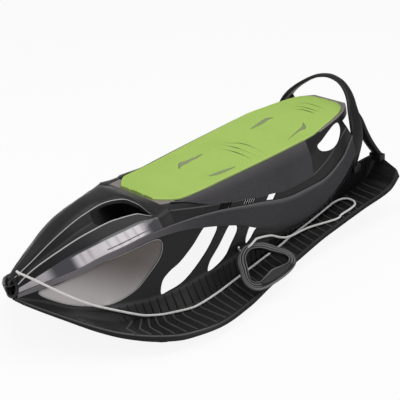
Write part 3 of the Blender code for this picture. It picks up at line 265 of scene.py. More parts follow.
# Painted reflection: the grey of the pad's rim stands for light the rim reflects; the speckle and bumps
# are its grain.
rim_painted_reflection = Finish("rim_painted_reflection", (126, 117, 114), 0.38)
rim_painted_reflection.speckle((142, 134, 131), 900).relief(rim_painted_reflection.noise(1200), 0.00004)
print("black plastics ready")

# %% Glossy inserts
strip_gloss = Finish("strip_gloss", (62, 61, 66), 0.14, coat=0.6)
strip_y = strip_gloss.axis("Y")
# Painted reflections on the glossy strip: a pale patch near the nose, a bright band further back on its
# upper part, broken by darker painted bands at the scallops.
nose_reflection = strip_gloss.step(strip_y, -0.452, -0.428, 1.0, 0.0)
softbox_reflection = (strip_gloss.step(strip_y, -0.398, -0.380)
          * strip_gloss.step(strip_y, -0.252, -0.222, 1.0, 0.0)
          * strip_gloss.step(strip_gloss.mark("upper"), 0.15, 0.45, 1.0, 0.0))
strip_gloss.paint(nose_reflection * 0.9, (186, 180, 184))
strip_gloss.paint(softbox_reflection * 0.95, (219, 212, 215))
strip_gloss.paint(strip_gloss.mark("bar") * softbox_reflection * 0.6, (150, 146, 152))
strip_gloss.link(0.12 + strip_gloss.noise(40.0) * 0.08, "Roughness")

panel_painted_reflection = Finish("panel_painted_reflection", (192, 187, 186), 0.22, coat=0.7)
# Painted reflection: light below and toward the nose, darker toward the top and the rear.
reflection_slant = panel_painted_reflection.axis("Y") * 0.75 + panel_painted_reflection.axis("Z") * 1.6
panel_painted_reflection.paint(panel_painted_reflection.step(reflection_slant, -0.17, 0.04), (88, 79, 73))
panel_painted_reflection.link(0.20 + panel_painted_reflection.noise(25.0) * 0.08, "Roughness")
print("glossy inserts ready")

# %% Foam, rope and steel
pad_foam = Finish("pad_foam", (168, 201, 92), 0.62)
pad_foam.speckle((176, 207, 101), 260, 0.7)
pad_foam.paint(pad_foam.step(pad_foam.noise(9.0, 2.0), 0.45, 0.70, 0.0, 0.35), (158, 192, 80))
# Painted highlight along the pad's rounded rim.
pad_foam.paint(pad_foam.mark("painted_highlight") * 0.8, (206, 235, 140))
# Painted shade in the pressed arcs, darker toward the near side, and in the notches: a dark line along
# each notch's wall and a duller tone on its floor.
arc_groove = pad_foam.step(pad_foam.mark("emboss"), -0.0008, 0.0008, 1.0, 0.0)
arc_shade = pad_foam.step(pad_foam.axis("X"), -0.045, 0.02, 0.25, 1.0)
pad_foam.paint(arc_groove * arc_shade, (70, 88, 30))
notch_floor = pad_foam.step(pad_foam.mark("notch"), -0.0020, -0.0002, 1.0, 0.0)
notch_rim = pad_foam.step(pad_foam.mark("notch"), -0.0004, 0.0012, 1.0, 0.0)
pad_foam.paint(notch_rim, (78, 92, 44))
pad_foam.paint(notch_floor, (140, 150, 112))
pad_foam.relief(pad_foam.noise(900.0, 3.0) * 0.25 - arc_groove - notch_rim * 0.6, 0.0006)

rope_white = Finish("rope_white", (244, 242, 239), 0.75)
weave = rope_white.node("ShaderNodeUVMap", {}, {})
lay = rope_white.node("ShaderNodeTexWave", {"wave_type": "BANDS", "bands_direction": "DIAGONAL"},
                      {"Vector": weave, "Scale": 1.1, "Distortion": 0.4})
# Painted shade in the grooves between the braid's strands; the same bands give its bumps.
rope_white.paint(rope_white.step(lay, 0.0, 0.25, 0.4, 0.0), (196, 190, 184))
rope_white.relief(lay, 0.0005)

steel = Finish("steel", (168, 168, 172), 0.30, metallic=1.0)
steel.link(0.25 + steel.noise(500.0) * 0.15, "Roughness")
print("foam, rope and steel ready")

# %% [markdown]
# ## Shapes from tables of points
# Most of the sled is thin curved sheet. A flat grid of faces is draped over a table of points,
# one row for each place along the sled. Rolled into a loop, the same grid is a rope or a bar.
# First come the lines: a few places that were read from the photograph, and a smooth curve
# through them.

# %% Smooth lines
def smooth_values(knots, values, at):
    """Monotone cubic through the knots, so a line never overshoots its places."""
    steps = np.diff(knots)
    slopes = np.diff(values) / steps
    tangents = np.zeros(len(knots))
    tangents[0], tangents[-1] = slopes[0], slopes[-1]
    for k in range(1, len(knots) - 1):
        before, after = slopes[k - 1], slopes[k]
        if before * after > 0:
            w1 = 2 * steps[k] + steps[k - 1]
            w2 = steps[k] + 2 * steps[k - 1]
            tangents[k] = (w1 + w2) / (w1 / before + w2 / after)
    at = np.clip(at, knots[0], knots[-1])
    k = np.clip(np.searchsorted(knots, at, side="right") - 1, 0, len(knots) - 2)
    t = (at - knots[k]) / steps[k]
    return ((2 * t**3 - 3 * t**2 + 1) * values[k] + (t**3 - 2 * t**2 + t) * steps[k] * tangents[k]
            + (3 * t**2 - 2 * t**3) * values[k + 1] + (t**3 - t**2) * steps[k] * tangents[k + 1])


def rail(shares, ys):
    """Points of a line along the sled, given as shares, at places in metres."""
    knots = np.array(shares, float)
    ys = np.asarray(ys, float)
    x = smooth_values(knots[:, 0], knots[:, 1], ys / LENGTH) * HALF_WIDTH
    z = smooth_values(knots[:, 0], knots[:, 2], ys / LENGTH) * HEIGHT
    return np.stack([x, ys, z], axis=-1)


def mix(first, second, share):
    return first * (1 - share) + second * share


def unit(rows):
    """Vectors at length 1."""
    return rows / np.linalg.norm(rows, axis=-1, keepdims=True)


def spaced(stops, step):
    """Places along the sled, in metres, at most a step apart, that include every stop."""
    places = [stops[0] * LENGTH]
    for start, end in zip(stops, stops[1:]):
        count = max(1, math.ceil((end - start) * LENGTH / step))
        places += list(np.linspace(start, end, count + 1)[1:] * LENGTH)
    return np.array(places)


def smooth_path(points, per_span, closed=False):
    """Catmull-Rom curve through points of any dimension."""
    rows = np.array(points, float)
    if closed:
        padded = np.vstack([rows[-1], rows, rows[:2]])
    else:
        padded = np.vstack([2 * rows[0] - rows[1], rows, 2 * rows[-1] - rows[-2]])
    fine = []
    for k in range(1, len(padded) - 2):
        p0, p1, p2, p3 = padded[k - 1:k + 3]
        for t in np.linspace(0, 1, per_span, endpoint=False):
            fine.append(0.5 * (2 * p1 + (p2 - p0) * t + (2 * p0 - 5 * p1 + 4 * p2 - p3) * t**2
                               + (3 * p1 - p0 - 3 * p2 + p3) * t**3))
    return np.array(fine if closed else fine + [rows[-1]])


def run_along(path):
    """How far each point of a path is from its start."""
    return np.concatenate([[0], np.cumsum(np.linalg.norm(np.diff(path, axis=0), axis=1))])


def evenly(path, step):
    """Points about a step apart along a fine path."""
    run = run_along(path)
    places = np.linspace(0, run[-1], max(3, int(round(run[-1] / step)) + 1))
    return np.stack([np.interp(places, run, path[:, axis]) for axis in range(3)], axis=-1)


print("line tools ready")

# %% [markdown]
# A sheet is a set of lines side by side. Each corner between them becomes a small arc, whose
# faces can carry a mark for the finish, and one grid of faces is laid over the whole table.


# %% Sheets
def section(columns, radii, steps=3):
    """Lines side by side with each corner turned into a small arc, and where each one came from."""
    made, places = [columns[0]], [0.0]
    for j in range(1, len(columns) - 1):
        here = columns[j]
        before, after = columns[j - 1] - here, columns[j + 1] - here
        length_before = np.linalg.norm(before, axis=1, keepdims=True)
        length_after = np.linalg.norm(after, axis=1, keepdims=True)
        reach = np.minimum(radii[j], 0.42 * np.minimum(length_before, length_after))
        start = here + before / length_before * reach
        end = here + after / length_after * reach
        for t in np.linspace(0, 1, steps):
            made.append((1 - t)**2 * start + 2 * t * (1 - t) * here + t**2 * end)
            places.append(j + 0.2 * (t - 0.5))
    return np.stack(made + [columns[-1]], axis=1), np.array(places + [len(columns) - 1.0])


def highlight_marks(rows, places, lines):
    """1 on the arcs of the given lines, where a highlight is painted, and 0 elsewhere."""
    marks = np.zeros((rows, len(places)))
    for line in lines:
        marks[:, np.abs(places - line) < 0.05] = 1.0
    return marks


def draped(points, marks=None, keep=None, finish_of=None, uv=None):
    """A grid of faces with its corners on a table of points."""
    rows, columns = points.shape[:2]
    work = bmesh.new()
    bmesh.ops.create_grid(work, x_segments=columns - 1, y_segments=rows - 1, size=0.5)
    layers = {name: work.verts.layers.float.new(name) for name in (marks or {})}
    cell = {}
    for vert in work.verts:
        i = round((vert.co.y + 0.5) * (rows - 1))
        j = round((vert.co.x + 0.5) * (columns - 1))
        cell[vert] = (i, j)
        vert.co = points[i, j]
        for name, layer in layers.items():
            vert[layer] = float(marks[name][i, j])
    uv_layer = work.loops.layers.uv.new("UVMap") if uv is not None else None
    unwanted = []
    for face in work.faces:
        face.smooth = True
        corner = tuple(min(cell[vert][k] for vert in face.verts) for k in (0, 1))
        if finish_of:
            face.material_index = finish_of(*corner)
        if keep and not keep(*corner):
            unwanted.append(face)
        if uv_layer:
            for loop in face.loops:
                loop[uv_layer].uv = uv[cell[loop.vert]]
    bmesh.ops.delete(work, geom=unwanted, context="FACES")
    return work


print("sheet tools ready")

# %% [markdown]
# Bars, tubes and cords are rings of points, one after the other. The rings of a tube must not
# twist, so each takes over the axes of the one before and turns them as little as it can.


# %% Rings and tubes
def lofted(rings, caps=True, uv=None, marks=None):
    """A closed skin through rings of points."""
    rings = np.array(rings, float)
    points = np.concatenate([rings, rings[:, :1]], axis=1)
    if marks:
        marks = {name: np.concatenate([m, m[:, :1]], axis=1) for name, m in marks.items()}
    work = draped(points, marks=marks, uv=uv)
    bmesh.ops.remove_doubles(work, verts=work.verts, dist=1e-6)
    if caps:
        bmesh.ops.holes_fill(work, edges=[e for e in work.edges if e.is_boundary], sides=0)
    bmesh.ops.recalc_face_normals(work, faces=work.faces)
    return work


def ring_frames(path, closed=False):
    """Two axes across a path at each of its points, turning as little as they can."""
    if closed:
        ahead = np.roll(path, -1, axis=0) - np.roll(path, 1, axis=0)
    else:
        ahead = np.gradient(path, axis=0)
    ahead = unit(ahead)
    across = np.cross(ahead[0], (0.31, 0.17, 0.93))
    frames = []
    for direction in ahead:
        across = unit(across - direction * np.dot(across, direction))
        frames.append((across, np.cross(direction, across)))
    return frames


def tube(path, radius, sides=12, closed=False, taper=None):
    """A round cord along a path, with a map of turns round it and diameters along it."""
    angles = np.linspace(0, 2 * math.pi, sides, endpoint=False)
    sizes = radius * (np.ones(len(path)) if taper is None else taper)
    rings = [[point + size * (math.cos(a) * u + math.sin(a) * v) for a in angles]
             for point, size, (u, v) in zip(path, sizes, ring_frames(path, closed))]
    if closed:
        rings.append(rings[0])
    run = run_along(path)
    run = np.append(run, run[-1]) if closed else run
    around, along = np.meshgrid(np.linspace(0, 4, sides + 1), run / (2 * radius))
    return lofted(rings, caps=not closed, uv=np.stack([around, along], axis=-1))


print("tube tools ready")

# %% [markdown]
# Openings are cut with plain solids that are drawn as an outline and pulled across the sled. The
# right half of most pieces is the mirror image of the left one.


# %% Solids and mirror images
def prism(outline, low, high):
    """A solid across the sled, from an outline in (y, z)."""
    work = bmesh.new()
    face = work.faces.new([work.verts.new((low, y, z)) for y, z in outline])
    grown = bmesh.ops.extrude_face_region(work, geom=[face], use_keep_orig=True)
    moved = [item for item in grown["geom"] if isinstance(item, bmesh.types.BMVert)]
    bmesh.ops.translate(work, verts=moved, vec=(high - low, 0, 0))
    bmesh.ops.recalc_face_normals(work, faces=work.faces)
    return work


def block(centre, size):
    """A box with softened edges."""
    work = bmesh.new()
    bmesh.ops.create_cube(work, size=1, matrix=Matrix.Translation(centre) @ Matrix.Diagonal((*size, 1)))
    bmesh.ops.bevel(work, geom=work.edges, offset=0.001, segments=2, profile=0.5,
                    affect="EDGES", material=-1)
    return work


def gathered(works):
    """Several shapes as one."""
    whole = bmesh.new()
    for work in works:
        part = bpy.data.meshes.new("part")
        work.to_mesh(part)
        work.free()
        whole.from_mesh(part)
        bpy.data.meshes.remove(part)
    return whole


def mirrored(work):
    """The shape and its mirror image across the sled's middle."""
    part = bpy.data.meshes.new("part")
    work.to_mesh(part)
    other = bmesh.new()
    other.from_mesh(part)
    bpy.data.meshes.remove(part)
    bmesh.ops.scale(other, vec=(-1, 1, 1), verts=other.verts)
    bmesh.ops.reverse_faces(other, faces=other.faces)
    return gathered([work, other])


print("solid tools ready")

# %% [markdown]
# `piece` makes an object of a finished shape. Mirror, thickness and cuts are modifiers, because
# Blender does these well, and they are applied at once, so the mesh is what is shown.


# %% Finished pieces
def placed(name, work):
    """An object of its own with the shape as its mesh."""
    mesh = bpy.data.meshes.new(name)
    work.to_mesh(mesh)
    work.free()
    item = bpy.data.objects.new(name, mesh)
    bpy.context.scene.collection.objects.link(item)
    return item


def settled(item):
    """The object with its modifiers applied."""
    view = bpy.context.evaluated_depsgraph_get()
    mesh = bpy.data.meshes.new_from_object(item.evaluated_get(view))
    old = item.data
    item.modifiers.clear()
    item.data = mesh
    bpy.data.meshes.remove(old)
    return item


def piece(name, work, finishes, stands_for=(), thickness=0.0, mirror=False, cuts=(), within=(),
          body="sled"):
    """A finished object: mirrored, thickened and cut if asked, and riding on a body."""
    item = placed(name, work)
    for finish in finishes:
        item.data.materials.append(finish.material)
    if mirror:
        modifier = item.modifiers.new("Mirror", "MIRROR")
        modifier.merge_threshold = 0.0001
        modifier.use_clip = True
    if thickness:
        modifier = item.modifiers.new("Thickness", "SOLIDIFY")
        modifier.thickness = thickness
        modifier.offset = -1.0
        modifier.use_even_offset = True
    operations = ["DIFFERENCE"] * len(cuts) + ["INTERSECT"] * len(within)
    tools = [placed(f"{name}_cut_{k}", cut) for k, cut in enumerate([*cuts, *within])]
    for tool, operation in zip(tools, operations):
        modifier = item.modifiers.new("Cut", "BOOLEAN")
        modifier.operation = operation
        modifier.solver = "EXACT"
        modifier.object = tool
    bpy.context.view_layer.update()
    settled(item)
    for tool in tools:
        bpy.data.objects.remove(tool, do_unlink=True)
    item.data.transform(Matrix.Translation(SHIFT))
    item.data.shade_smooth()
    item.data.set_sharp_from_angle(angle=math.radians(38))
    if body:
        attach(item, body)
    if stands_for:
        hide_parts(*stands_for)
    print(name, len(item.data.polygons), "faces")
    return item


print("piece tools ready")

# %% [markdown]
# ## Tow rope
# The rope is 5 mm braided polypropylene. It comes out of a hole in the nose, falls into the foot
# tray, runs back to the rear in one long curve, turns, and ends in a knot under the handle. Its
# route is a list of given points, and a smooth curve through them is its centreline. The last
# stretch, where the real rope bends as the handle is lifted, is a piece of its own.

# %% Rope
ROPE_RADIUS = 0.0025
ROPE_ROUTE = [(0.0075, -0.4800, 0.1560), (0.0105, -0.4858, 0.1680), (0.0160, -0.4915, 0.1775),
              (0.0280, -0.4954, 0.1800), (0.0600, -0.4744, 0.1627), (0.0980, -0.4422, 0.1343),
              (0.1270, -0.4052, 0.1062), (0.1490, -0.3584, 0.0794), (0.1690, -0.3115, 0.0550),
              (0.1730, -0.2800, 0.0420), (0.1810, -0.2520, 0.0360), (0.1985, -0.2030, 0.0335),
              (0.2005, -0.1735, 0.0325), (0.1930, -0.1105, 0.0325), (0.1780, -0.0350, 0.0330),
              (0.1635, 0.0470, 0.0350), (0.1500, 0.1290, 0.0380), (0.1430, 0.1650, 0.0410),
              (0.1395, 0.1980, 0.0440), (0.1340, 0.2670, 0.0530), (0.1312, 0.3090, 0.0600),
              (0.1287, 0.3440, 0.0640), (0.1350, 0.3710, 0.0640), (0.1555, 0.3765, 0.0630),
              (0.1720, 0.3655, 0.0615), (0.1765, 0.3445, 0.0590), (0.1755, 0.3130, 0.0550),
              (0.1780, 0.2905, 0.0520), (0.1530, 0.2305, 0.0470), (0.1490, 0.2040, 0.0465),
              (0.1555, 0.1510, 0.0520), (0.1560, 0.1215, 0.0620)]
ROPE_END_ROUTE = [(0.1588, 0.0885, 0.0800), (0.1705, 0.0360, 0.0970), (0.1763, 0.0190, 0.0985),
                  (0.1797, 0.0085, 0.0972), (0.1788, 0.0030, 0.0943), (0.1763, 0.0010, 0.0908),
                  (0.1730, 0.0004, 0.0855), (0.1705, 0.00001, 0.0812)]
PER_SPAN = 16


def length_of(path):
    return float(run_along(path)[-1])


whole_rope = smooth_path(ROPE_ROUTE + ROPE_END_ROUTE, PER_SPAN)
split = (len(ROPE_ROUTE) - 1) * PER_SPAN
long_run = evenly(whole_rope[:split + 1], 0.004)
short_run = evenly(whole_rope[split:], 0.003)

rope = piece("rope_long", tube(long_run, ROPE_RADIUS), [rope_white], ["tow_rope"])
rope_end = piece("rope_short", tube(short_run, ROPE_RADIUS), [rope_white], ["rope_end"], body=None)
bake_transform(rope_end)
print("rope", round(length_of(long_run) + length_of(short_run), 3), "m")

# %% [markdown]
# The grip lies on the left tray and leans against its wall. Its knot and its ring are drawn flat,
# round the hole that the rope comes through, and one matrix then takes them to their place.

# %% Place of the grip
HANDLE_PIVOT = Vector((0.6050 * HALF_WIDTH, 0.0004 * LENGTH, 0.2552 * HEIGHT))
HANDLE_TURN, HANDLE_TILT = math.radians(8.1), math.radians(31.1)
HANDLE_THICKNESS = 0.011
toward = Vector((math.cos(HANDLE_TURN) * math.cos(HANDLE_TILT),
                 math.sin(HANDLE_TURN) * math.cos(HANDLE_TILT), -math.sin(HANDLE_TILT)))
across = Vector((-math.sin(HANDLE_TURN), math.cos(HANDLE_TURN), 0))
handle_place = (Matrix.Translation(HANDLE_PIVOT)
                @ Matrix((toward, across, toward.cross(across))).transposed().to_4x4())
print("grip turns about", [round(x, 3) for x in HANDLE_PIVOT + SHIFT])

# %% [markdown]
# Each end of the rope is held by an overhand knot. Pulled tight, it looks like a small trefoil,
# which a formula draws well enough at this size. A tail of a few centimetres sticks out of it.

# %% Knots and tails
NOSE_TAIL = [(0.0060, -0.4800, 0.1500), (0.0010, -0.4900, 0.1440), (-0.0055, -0.5020, 0.1400),
             (-0.0190, -0.5080, 0.1415)]
HANDLE_TAIL = [(-0.0010, -0.0010, -0.0105), (-0.0070, -0.0070, -0.0112),
               (-0.0118, -0.0125, -0.0075), (-0.0128, -0.0165, -0.0010), (-0.0125, -0.0195, 0.0045)]


def knot_path(centre, axis, size):
    """A trefoil that stands for an overhand knot pulled tight."""
    turn = Vector(axis).to_track_quat("Z", "Y").to_matrix()
    path = []
    for t in np.linspace(0, 2 * math.pi, 48, endpoint=False):
        loop = Vector((math.sin(t) + 2 * math.sin(2 * t), math.cos(t) - 2 * math.cos(2 * t),
                       -1.6 * math.sin(3 * t)))
        path.append(Vector(centre) + turn @ loop * size)
    return np.array(path)


# A dark grey for the nose's rope tail: painted shade, standing for a white tail in shadow.
tail_painted_shade = Finish("tail_painted_shade", (52, 49, 48), 0.5)
tail_painted_shade.relief(tail_painted_shade.noise(800.0), 0.0002)

nose_hole = Vector(ROPE_ROUTE[0])
hole_axis = (Vector(ROPE_ROUTE[1]) - nose_hole).normalized()
nose_knot = piece("nose_knot_tied",
                  tube(knot_path(nose_hole - hole_axis * 0.006, hole_axis, 0.0015), 0.0022, closed=True),
                  [rope_white], ["nose_knot"])
nose_tail = smooth_path(NOSE_TAIL, 8)
nose_tail_piece = piece("nose_rope_tail",
                        tube(nose_tail, 0.0019, taper=np.linspace(1, 0.55, len(nose_tail))),
                        [tail_painted_shade])

under_grip = (0, 0, -HANDLE_THICKNESS / 2 - 0.0048)
grip_knot = gathered([tube(knot_path(under_grip, (0, 0, 1), 0.0011), 0.0019, closed=True),
                      tube(smooth_path(HANDLE_TAIL, 6), 0.0022)])
bmesh.ops.transform(grip_knot, matrix=handle_place, verts=grip_knot.verts)
handle_knot = piece("handle_knot_tied", grip_knot, [rope_white], ["handle_knot"], body="tow_grip")

# %% [markdown]
# ## The lines of the body
# A moulded sled is drawn with lines that run from the nose to the tail. Each place here is
# (along, out, up), in shares of the length, the half width and the height. The bonnet has a
# middle strip, a crease on each side of a trough, and a glossy strip under the lower crease.

# %% Lines of the bonnet
JOINT, SHELL_TAIL, DECK_TAIL = -0.1637, 0.4067, 0.4722
SPINE = [(-0.495, 0, 0.494), (-0.483, 0, 0.514), (-0.453, 0, 0.562), (-0.417, 0, 0.627),
         (-0.377, 0, 0.689), (-0.332, 0, 0.740), (-0.278, 0, 0.776), (-0.233, 0, 0.780),
         (-0.198, 0, 0.744), (-0.164, 0, 0.684)]
SHOULDER = [(-0.495, 0.018, 0.491), (-0.453, 0.031, 0.559), (-0.417, 0.043, 0.624),
            (-0.377, 0.052, 0.686), (-0.332, 0.058, 0.736), (-0.278, 0.070, 0.771),
            (-0.233, 0.105, 0.774), (-0.198, 0.192, 0.735), (-0.164, 0.182, 0.683)]
BROW = [(-0.495, 0.029, 0.481), (-0.449, 0.052, 0.555), (-0.411, 0.072, 0.623),
        (-0.369, 0.089, 0.685), (-0.322, 0.099, 0.732), (-0.265, 0.116, 0.762),
        (-0.231, 0.164, 0.758), (-0.211, 0.250, 0.722), (-0.198, 0.346, 0.660),
        (-0.164, 0.273, 0.682)]
GUTTER = [(-0.495, 0.066, 0.446), (-0.463, 0.091, 0.509), (-0.400, 0.140, 0.585),
          (-0.335, 0.198, 0.650), (-0.271, 0.246, 0.682), (-0.228, 0.290, 0.683),
          (-0.198, 0.353, 0.655), (-0.164, 0.332, 0.679)]
CHEEK = [(-0.495, 0.073, 0.433), (-0.442, 0.137, 0.496), (-0.392, 0.197, 0.556),
         (-0.332, 0.267, 0.606), (-0.273, 0.315, 0.640), (-0.229, 0.344, 0.653),
         (-0.198, 0.381, 0.653), (-0.164, 0.378, 0.673)]
STRIP = [(-0.495, 0.070, 0.415), (-0.444, 0.157, 0.475), (-0.393, 0.229, 0.523),
         (-0.334, 0.303, 0.574), (-0.277, 0.360, 0.606), (-0.231, 0.387, 0.626),
         (-0.197, 0.404, 0.639), (-0.164, 0.416, 0.660)]
print("bonnet lines from", SPINE[0][0], "to", SPINE[-1][0])

# %% [markdown]
# The deck's top ends at its edge. The flank falls from there to a band of slots, and the band
# ends at the waist, where the belt starts.

# %% Lines of the deck
DECK_EDGE = [(-0.164, 0.301, 0.678), (-0.144, 0.322, 0.672), (-0.124, 0.343, 0.669),
             (-0.099, 0.360, 0.669), (-0.050, 0.374, 0.672), (0.0, 0.385, 0.681),
             (0.149, 0.409, 0.707), (0.268, 0.416, 0.731), (0.337, 0.380, 0.749),
             (0.417, 0.312, 0.767), (0.446, 0.262, 0.773), (0.472, 0.180, 0.776)]
FLANK = [(-0.164, 0.363, 0.674), (-0.099, 0.411, 0.654), (-0.050, 0.430, 0.638),
         (0.020, 0.447, 0.622), (0.099, 0.457, 0.614), (0.179, 0.462, 0.608),
         (0.248, 0.458, 0.620), (0.308, 0.427, 0.662), (0.357, 0.395, 0.692),
         (0.407, 0.350, 0.725), (0.437, 0.298, 0.730), (0.472, 0.190, 0.737)]
BAND = [(-0.164, 0.413, 0.666), (-0.149, 0.420, 0.657), (-0.099, 0.444, 0.624),
        (-0.050, 0.462, 0.594), (0.020, 0.479, 0.552), (0.099, 0.483, 0.507),
        (0.179, 0.483, 0.478), (0.248, 0.476, 0.484), (0.308, 0.462, 0.537),
        (0.357, 0.430, 0.612), (0.407, 0.392, 0.693)]
print("deck lines from", DECK_EDGE[0][0], "to", DECK_EDGE[-1][0])

# %% [markdown]
# The belt lies between the waist and the skirt. Both sweep down from the nose to the middle and
# rise to the tail.

# %% Lines of the belt
WAIST = [(-0.495, 0.063, 0.391), (-0.456, 0.162, 0.435), (-0.425, 0.224, 0.461),
         (-0.378, 0.300, 0.495), (-0.343, 0.346, 0.529), (-0.290, 0.406, 0.561),
         (-0.230, 0.441, 0.585), (-0.178, 0.455, 0.588), (-0.121, 0.465, 0.579),
         (-0.063, 0.476, 0.561), (0.060, 0.490, 0.493), (0.188, 0.490, 0.421),
         (0.278, 0.479, 0.421), (0.367, 0.458, 0.513), (0.407, 0.444, 0.642)]
SKIRT = [(-0.495, 0.056, 0.364), (-0.427, 0.246, 0.432), (-0.380, 0.325, 0.465),
         (-0.346, 0.372, 0.499), (-0.293, 0.431, 0.530), (-0.238, 0.462, 0.552),
         (-0.169, 0.486, 0.540), (-0.099, 0.503, 0.496), (0.0, 0.514, 0.403),
         (0.069, 0.514, 0.304), (0.139, 0.510, 0.230), (0.198, 0.507, 0.203),
         (0.258, 0.503, 0.224), (0.317, 0.497, 0.293), (0.367, 0.490, 0.388),
         (0.407, 0.479, 0.501)]
print("belt lines from", WAIST[0][0], "to", WAIST[-1][0])

# %% [markdown]
# Below the belt, the side wall goes down to the tray's inner wall, the tray's floor runs outward
# to the rim, and the rim turns down.

# %% Lines of the trays
WALL_TOP = [(-0.495, 0.042, 0.352), (-0.466, 0.192, 0.340), (-0.427, 0.364, 0.301),
            (-0.387, 0.448, 0.269), (-0.347, 0.497, 0.242), (-0.308, 0.521, 0.224),
            (-0.268, 0.535, 0.200), (-0.218, 0.556, 0.194), (-0.169, 0.577, 0.200),
            (-0.099, 0.577, 0.212), (0.0, 0.552, 0.215), (0.069, 0.528, 0.203),
            (0.139, 0.507, 0.179), (0.198, 0.490, 0.167), (0.258, 0.476, 0.185),
            (0.317, 0.469, 0.239), (0.367, 0.462, 0.313), (0.407, 0.451, 0.388),
            (0.437, 0.441, 0.409), (0.499, 0.437, 0.412)]
FLOOR_IN = [(-0.495, 0.028, 0.346), (-0.466, 0.217, 0.313), (-0.427, 0.427, 0.260),
            (-0.387, 0.531, 0.209), (-0.347, 0.580, 0.170), (-0.308, 0.587, 0.134),
            (-0.268, 0.580, 0.104), (-0.218, 0.615, 0.090), (-0.169, 0.654, 0.087),
            (-0.099, 0.636, 0.087), (0.0, 0.573, 0.090), (0.119, 0.500, 0.101),
            (0.248, 0.444, 0.128), (0.377, 0.413, 0.179), (0.471, 0.392, 0.215),
            (0.486, 0.427, 0.313), (0.499, 0.465, 0.400)]
RIM_TOP = [(-0.495, 0.014, 0.343), (-0.481, 0.140, 0.316), (-0.451, 0.360, 0.269),
           (-0.415, 0.576, 0.214), (-0.373, 0.712, 0.158), (-0.327, 0.846, 0.125),
           (-0.268, 0.937, 0.093), (-0.188, 0.986, 0.078), (-0.099, 0.937, 0.075),
           (0.0, 0.839, 0.078), (0.119, 0.734, 0.093), (0.248, 0.671, 0.128),
           (0.377, 0.657, 0.176), (0.471, 0.661, 0.221), (0.486, 0.675, 0.275),
           (0.499, 0.664, 0.328)]
RIM_LOW = [(-0.495, 0.007, 0.322), (-0.481, 0.147, 0.296), (-0.451, 0.371, 0.245),
           (-0.415, 0.590, 0.184), (-0.373, 0.726, 0.123), (-0.327, 0.860, 0.087),
           (-0.268, 0.951, 0.060), (-0.188, 1.0, 0.054), (-0.099, 0.951, 0.051),
           (0.0, 0.853, 0.054), (0.119, 0.748, 0.069), (0.248, 0.685, 0.104),
           (0.377, 0.671, 0.152), (0.471, 0.675, 0.194), (0.486, 0.689, 0.240),
           (0.499, 0.692, 0.281)]
print("tray lines from", RIM_TOP[0][0], "to", RIM_TOP[-1][0])

# %% [markdown]
# The openings are closed outlines on the side, as (along, up). Two helpers then follow from the
# lines: where the upper shells end behind the belt, and the cut for an outline.

# %% Openings in the side wall
LEG_OPENINGS = [
    [(-0.087, 0.505), (-0.058, 0.462), (-0.081, 0.394), (-0.116, 0.322), (-0.155, 0.257),
     (-0.189, 0.218), (-0.217, 0.204), (-0.238, 0.204), (-0.229, 0.281), (-0.207, 0.325),
     (-0.180, 0.355), (-0.140, 0.415)],
    [(-0.022, 0.436), (-0.004, 0.409), (-0.004, 0.373), (-0.030, 0.310), (-0.052, 0.257),
     (-0.082, 0.225), (-0.111, 0.216), (-0.101, 0.275), (-0.068, 0.343)],
    [(0.043, 0.365), (0.066, 0.330), (0.048, 0.305), (0.030, 0.272), (0.015, 0.260),
     (0.018, 0.305)]]
PANEL_OUTLINE = [(-0.464, 0.388), (-0.427, 0.428), (-0.383, 0.468), (-0.349, 0.502),
                 (-0.293, 0.528), (-0.238, 0.547), (-0.214, 0.536), (-0.211, 0.490),
                 (-0.224, 0.430), (-0.254, 0.366), (-0.292, 0.298), (-0.350, 0.266),
                 (-0.402, 0.292), (-0.445, 0.337)]
SPLIT_OVER_SKIRT = 0.014


def split_line(ys, lowered=0.0):
    """Where the upper shells end behind the belt, or a point lower down the wall."""
    waist, skirt = rail(WAIST, ys), rail(SKIRT, ys)
    width = np.linalg.norm(waist - skirt, axis=1)
    share = np.clip(SPLIT_OVER_SKIRT / width, 0.0, 0.5) - lowered / width
    return skirt + (waist - skirt) * share[:, None]


def outline_yz(shares, per_span=6):
    return smooth_path([(y * LENGTH, z * HEIGHT) for y, z in shares], per_span, closed=True)


def both_prisms(outline):
    """A cut through both side walls, from near the middle to outside the belt."""
    return mirrored(prism(outline, 0.010, 0.215))


def outward(grid):
    """Unit normals of a table of points."""
    return unit(np.cross(np.gradient(grid, axis=1), np.gradient(grid, axis=0)))


print("openings:", len(LEG_OPENINGS), "between the legs and one for the panel")

# %% [markdown]
# ## Lower hull
# The lowest moulding carries both foot trays. Its side wall is open between slanted legs, so
# snow falls out, and its rim turns down along the outside. The openings are cut last, through
# the finished thickness, which leaves crisp edges like those of a real tool.

# %% Lower hull
hull_ys = spaced([-0.495, -0.47, SHELL_TAIL, 0.471, 0.486, 0.499], 0.008)
WALL_BULGE = np.array([0.002, 0, 0])
wall_middle = mix(rail(SKIRT, hull_ys), rail(WALL_TOP, hull_ys), 0.5) + WALL_BULGE
hull_columns = [split_line(hull_ys, 2 * GAP), rail(SKIRT, hull_ys), wall_middle]
hull_columns += [rail(line, hull_ys) for line in (WALL_TOP, FLOOR_IN, RIM_TOP, RIM_LOW)]
hull_points, hull_places = section(hull_columns, [0, 0.004, 0.040, 0.007, 0.005, 0.0035, 0])
# Painted highlights along the rim's top edge, stronger toward the nose, and weaker ones along the top of
# the tray wall.
highlight_toward_nose = np.clip((-0.12 * LENGTH - hull_ys) / 0.12, 0, 1)[:, None]
hull_marks = {"painted_highlight": highlight_marks(len(hull_ys), hull_places, [5]) * (0.25 + 0.75 * highlight_toward_nose)
              + highlight_marks(len(hull_ys), hull_places, [3]) * 0.35}


def hull_keep(i, j):
    """Behind the shells' end only the tray goes on, without the leg wall."""
    return hull_ys[i] < SHELL_TAIL * LENGTH - 1e-6 or hull_places[j] > 2.95


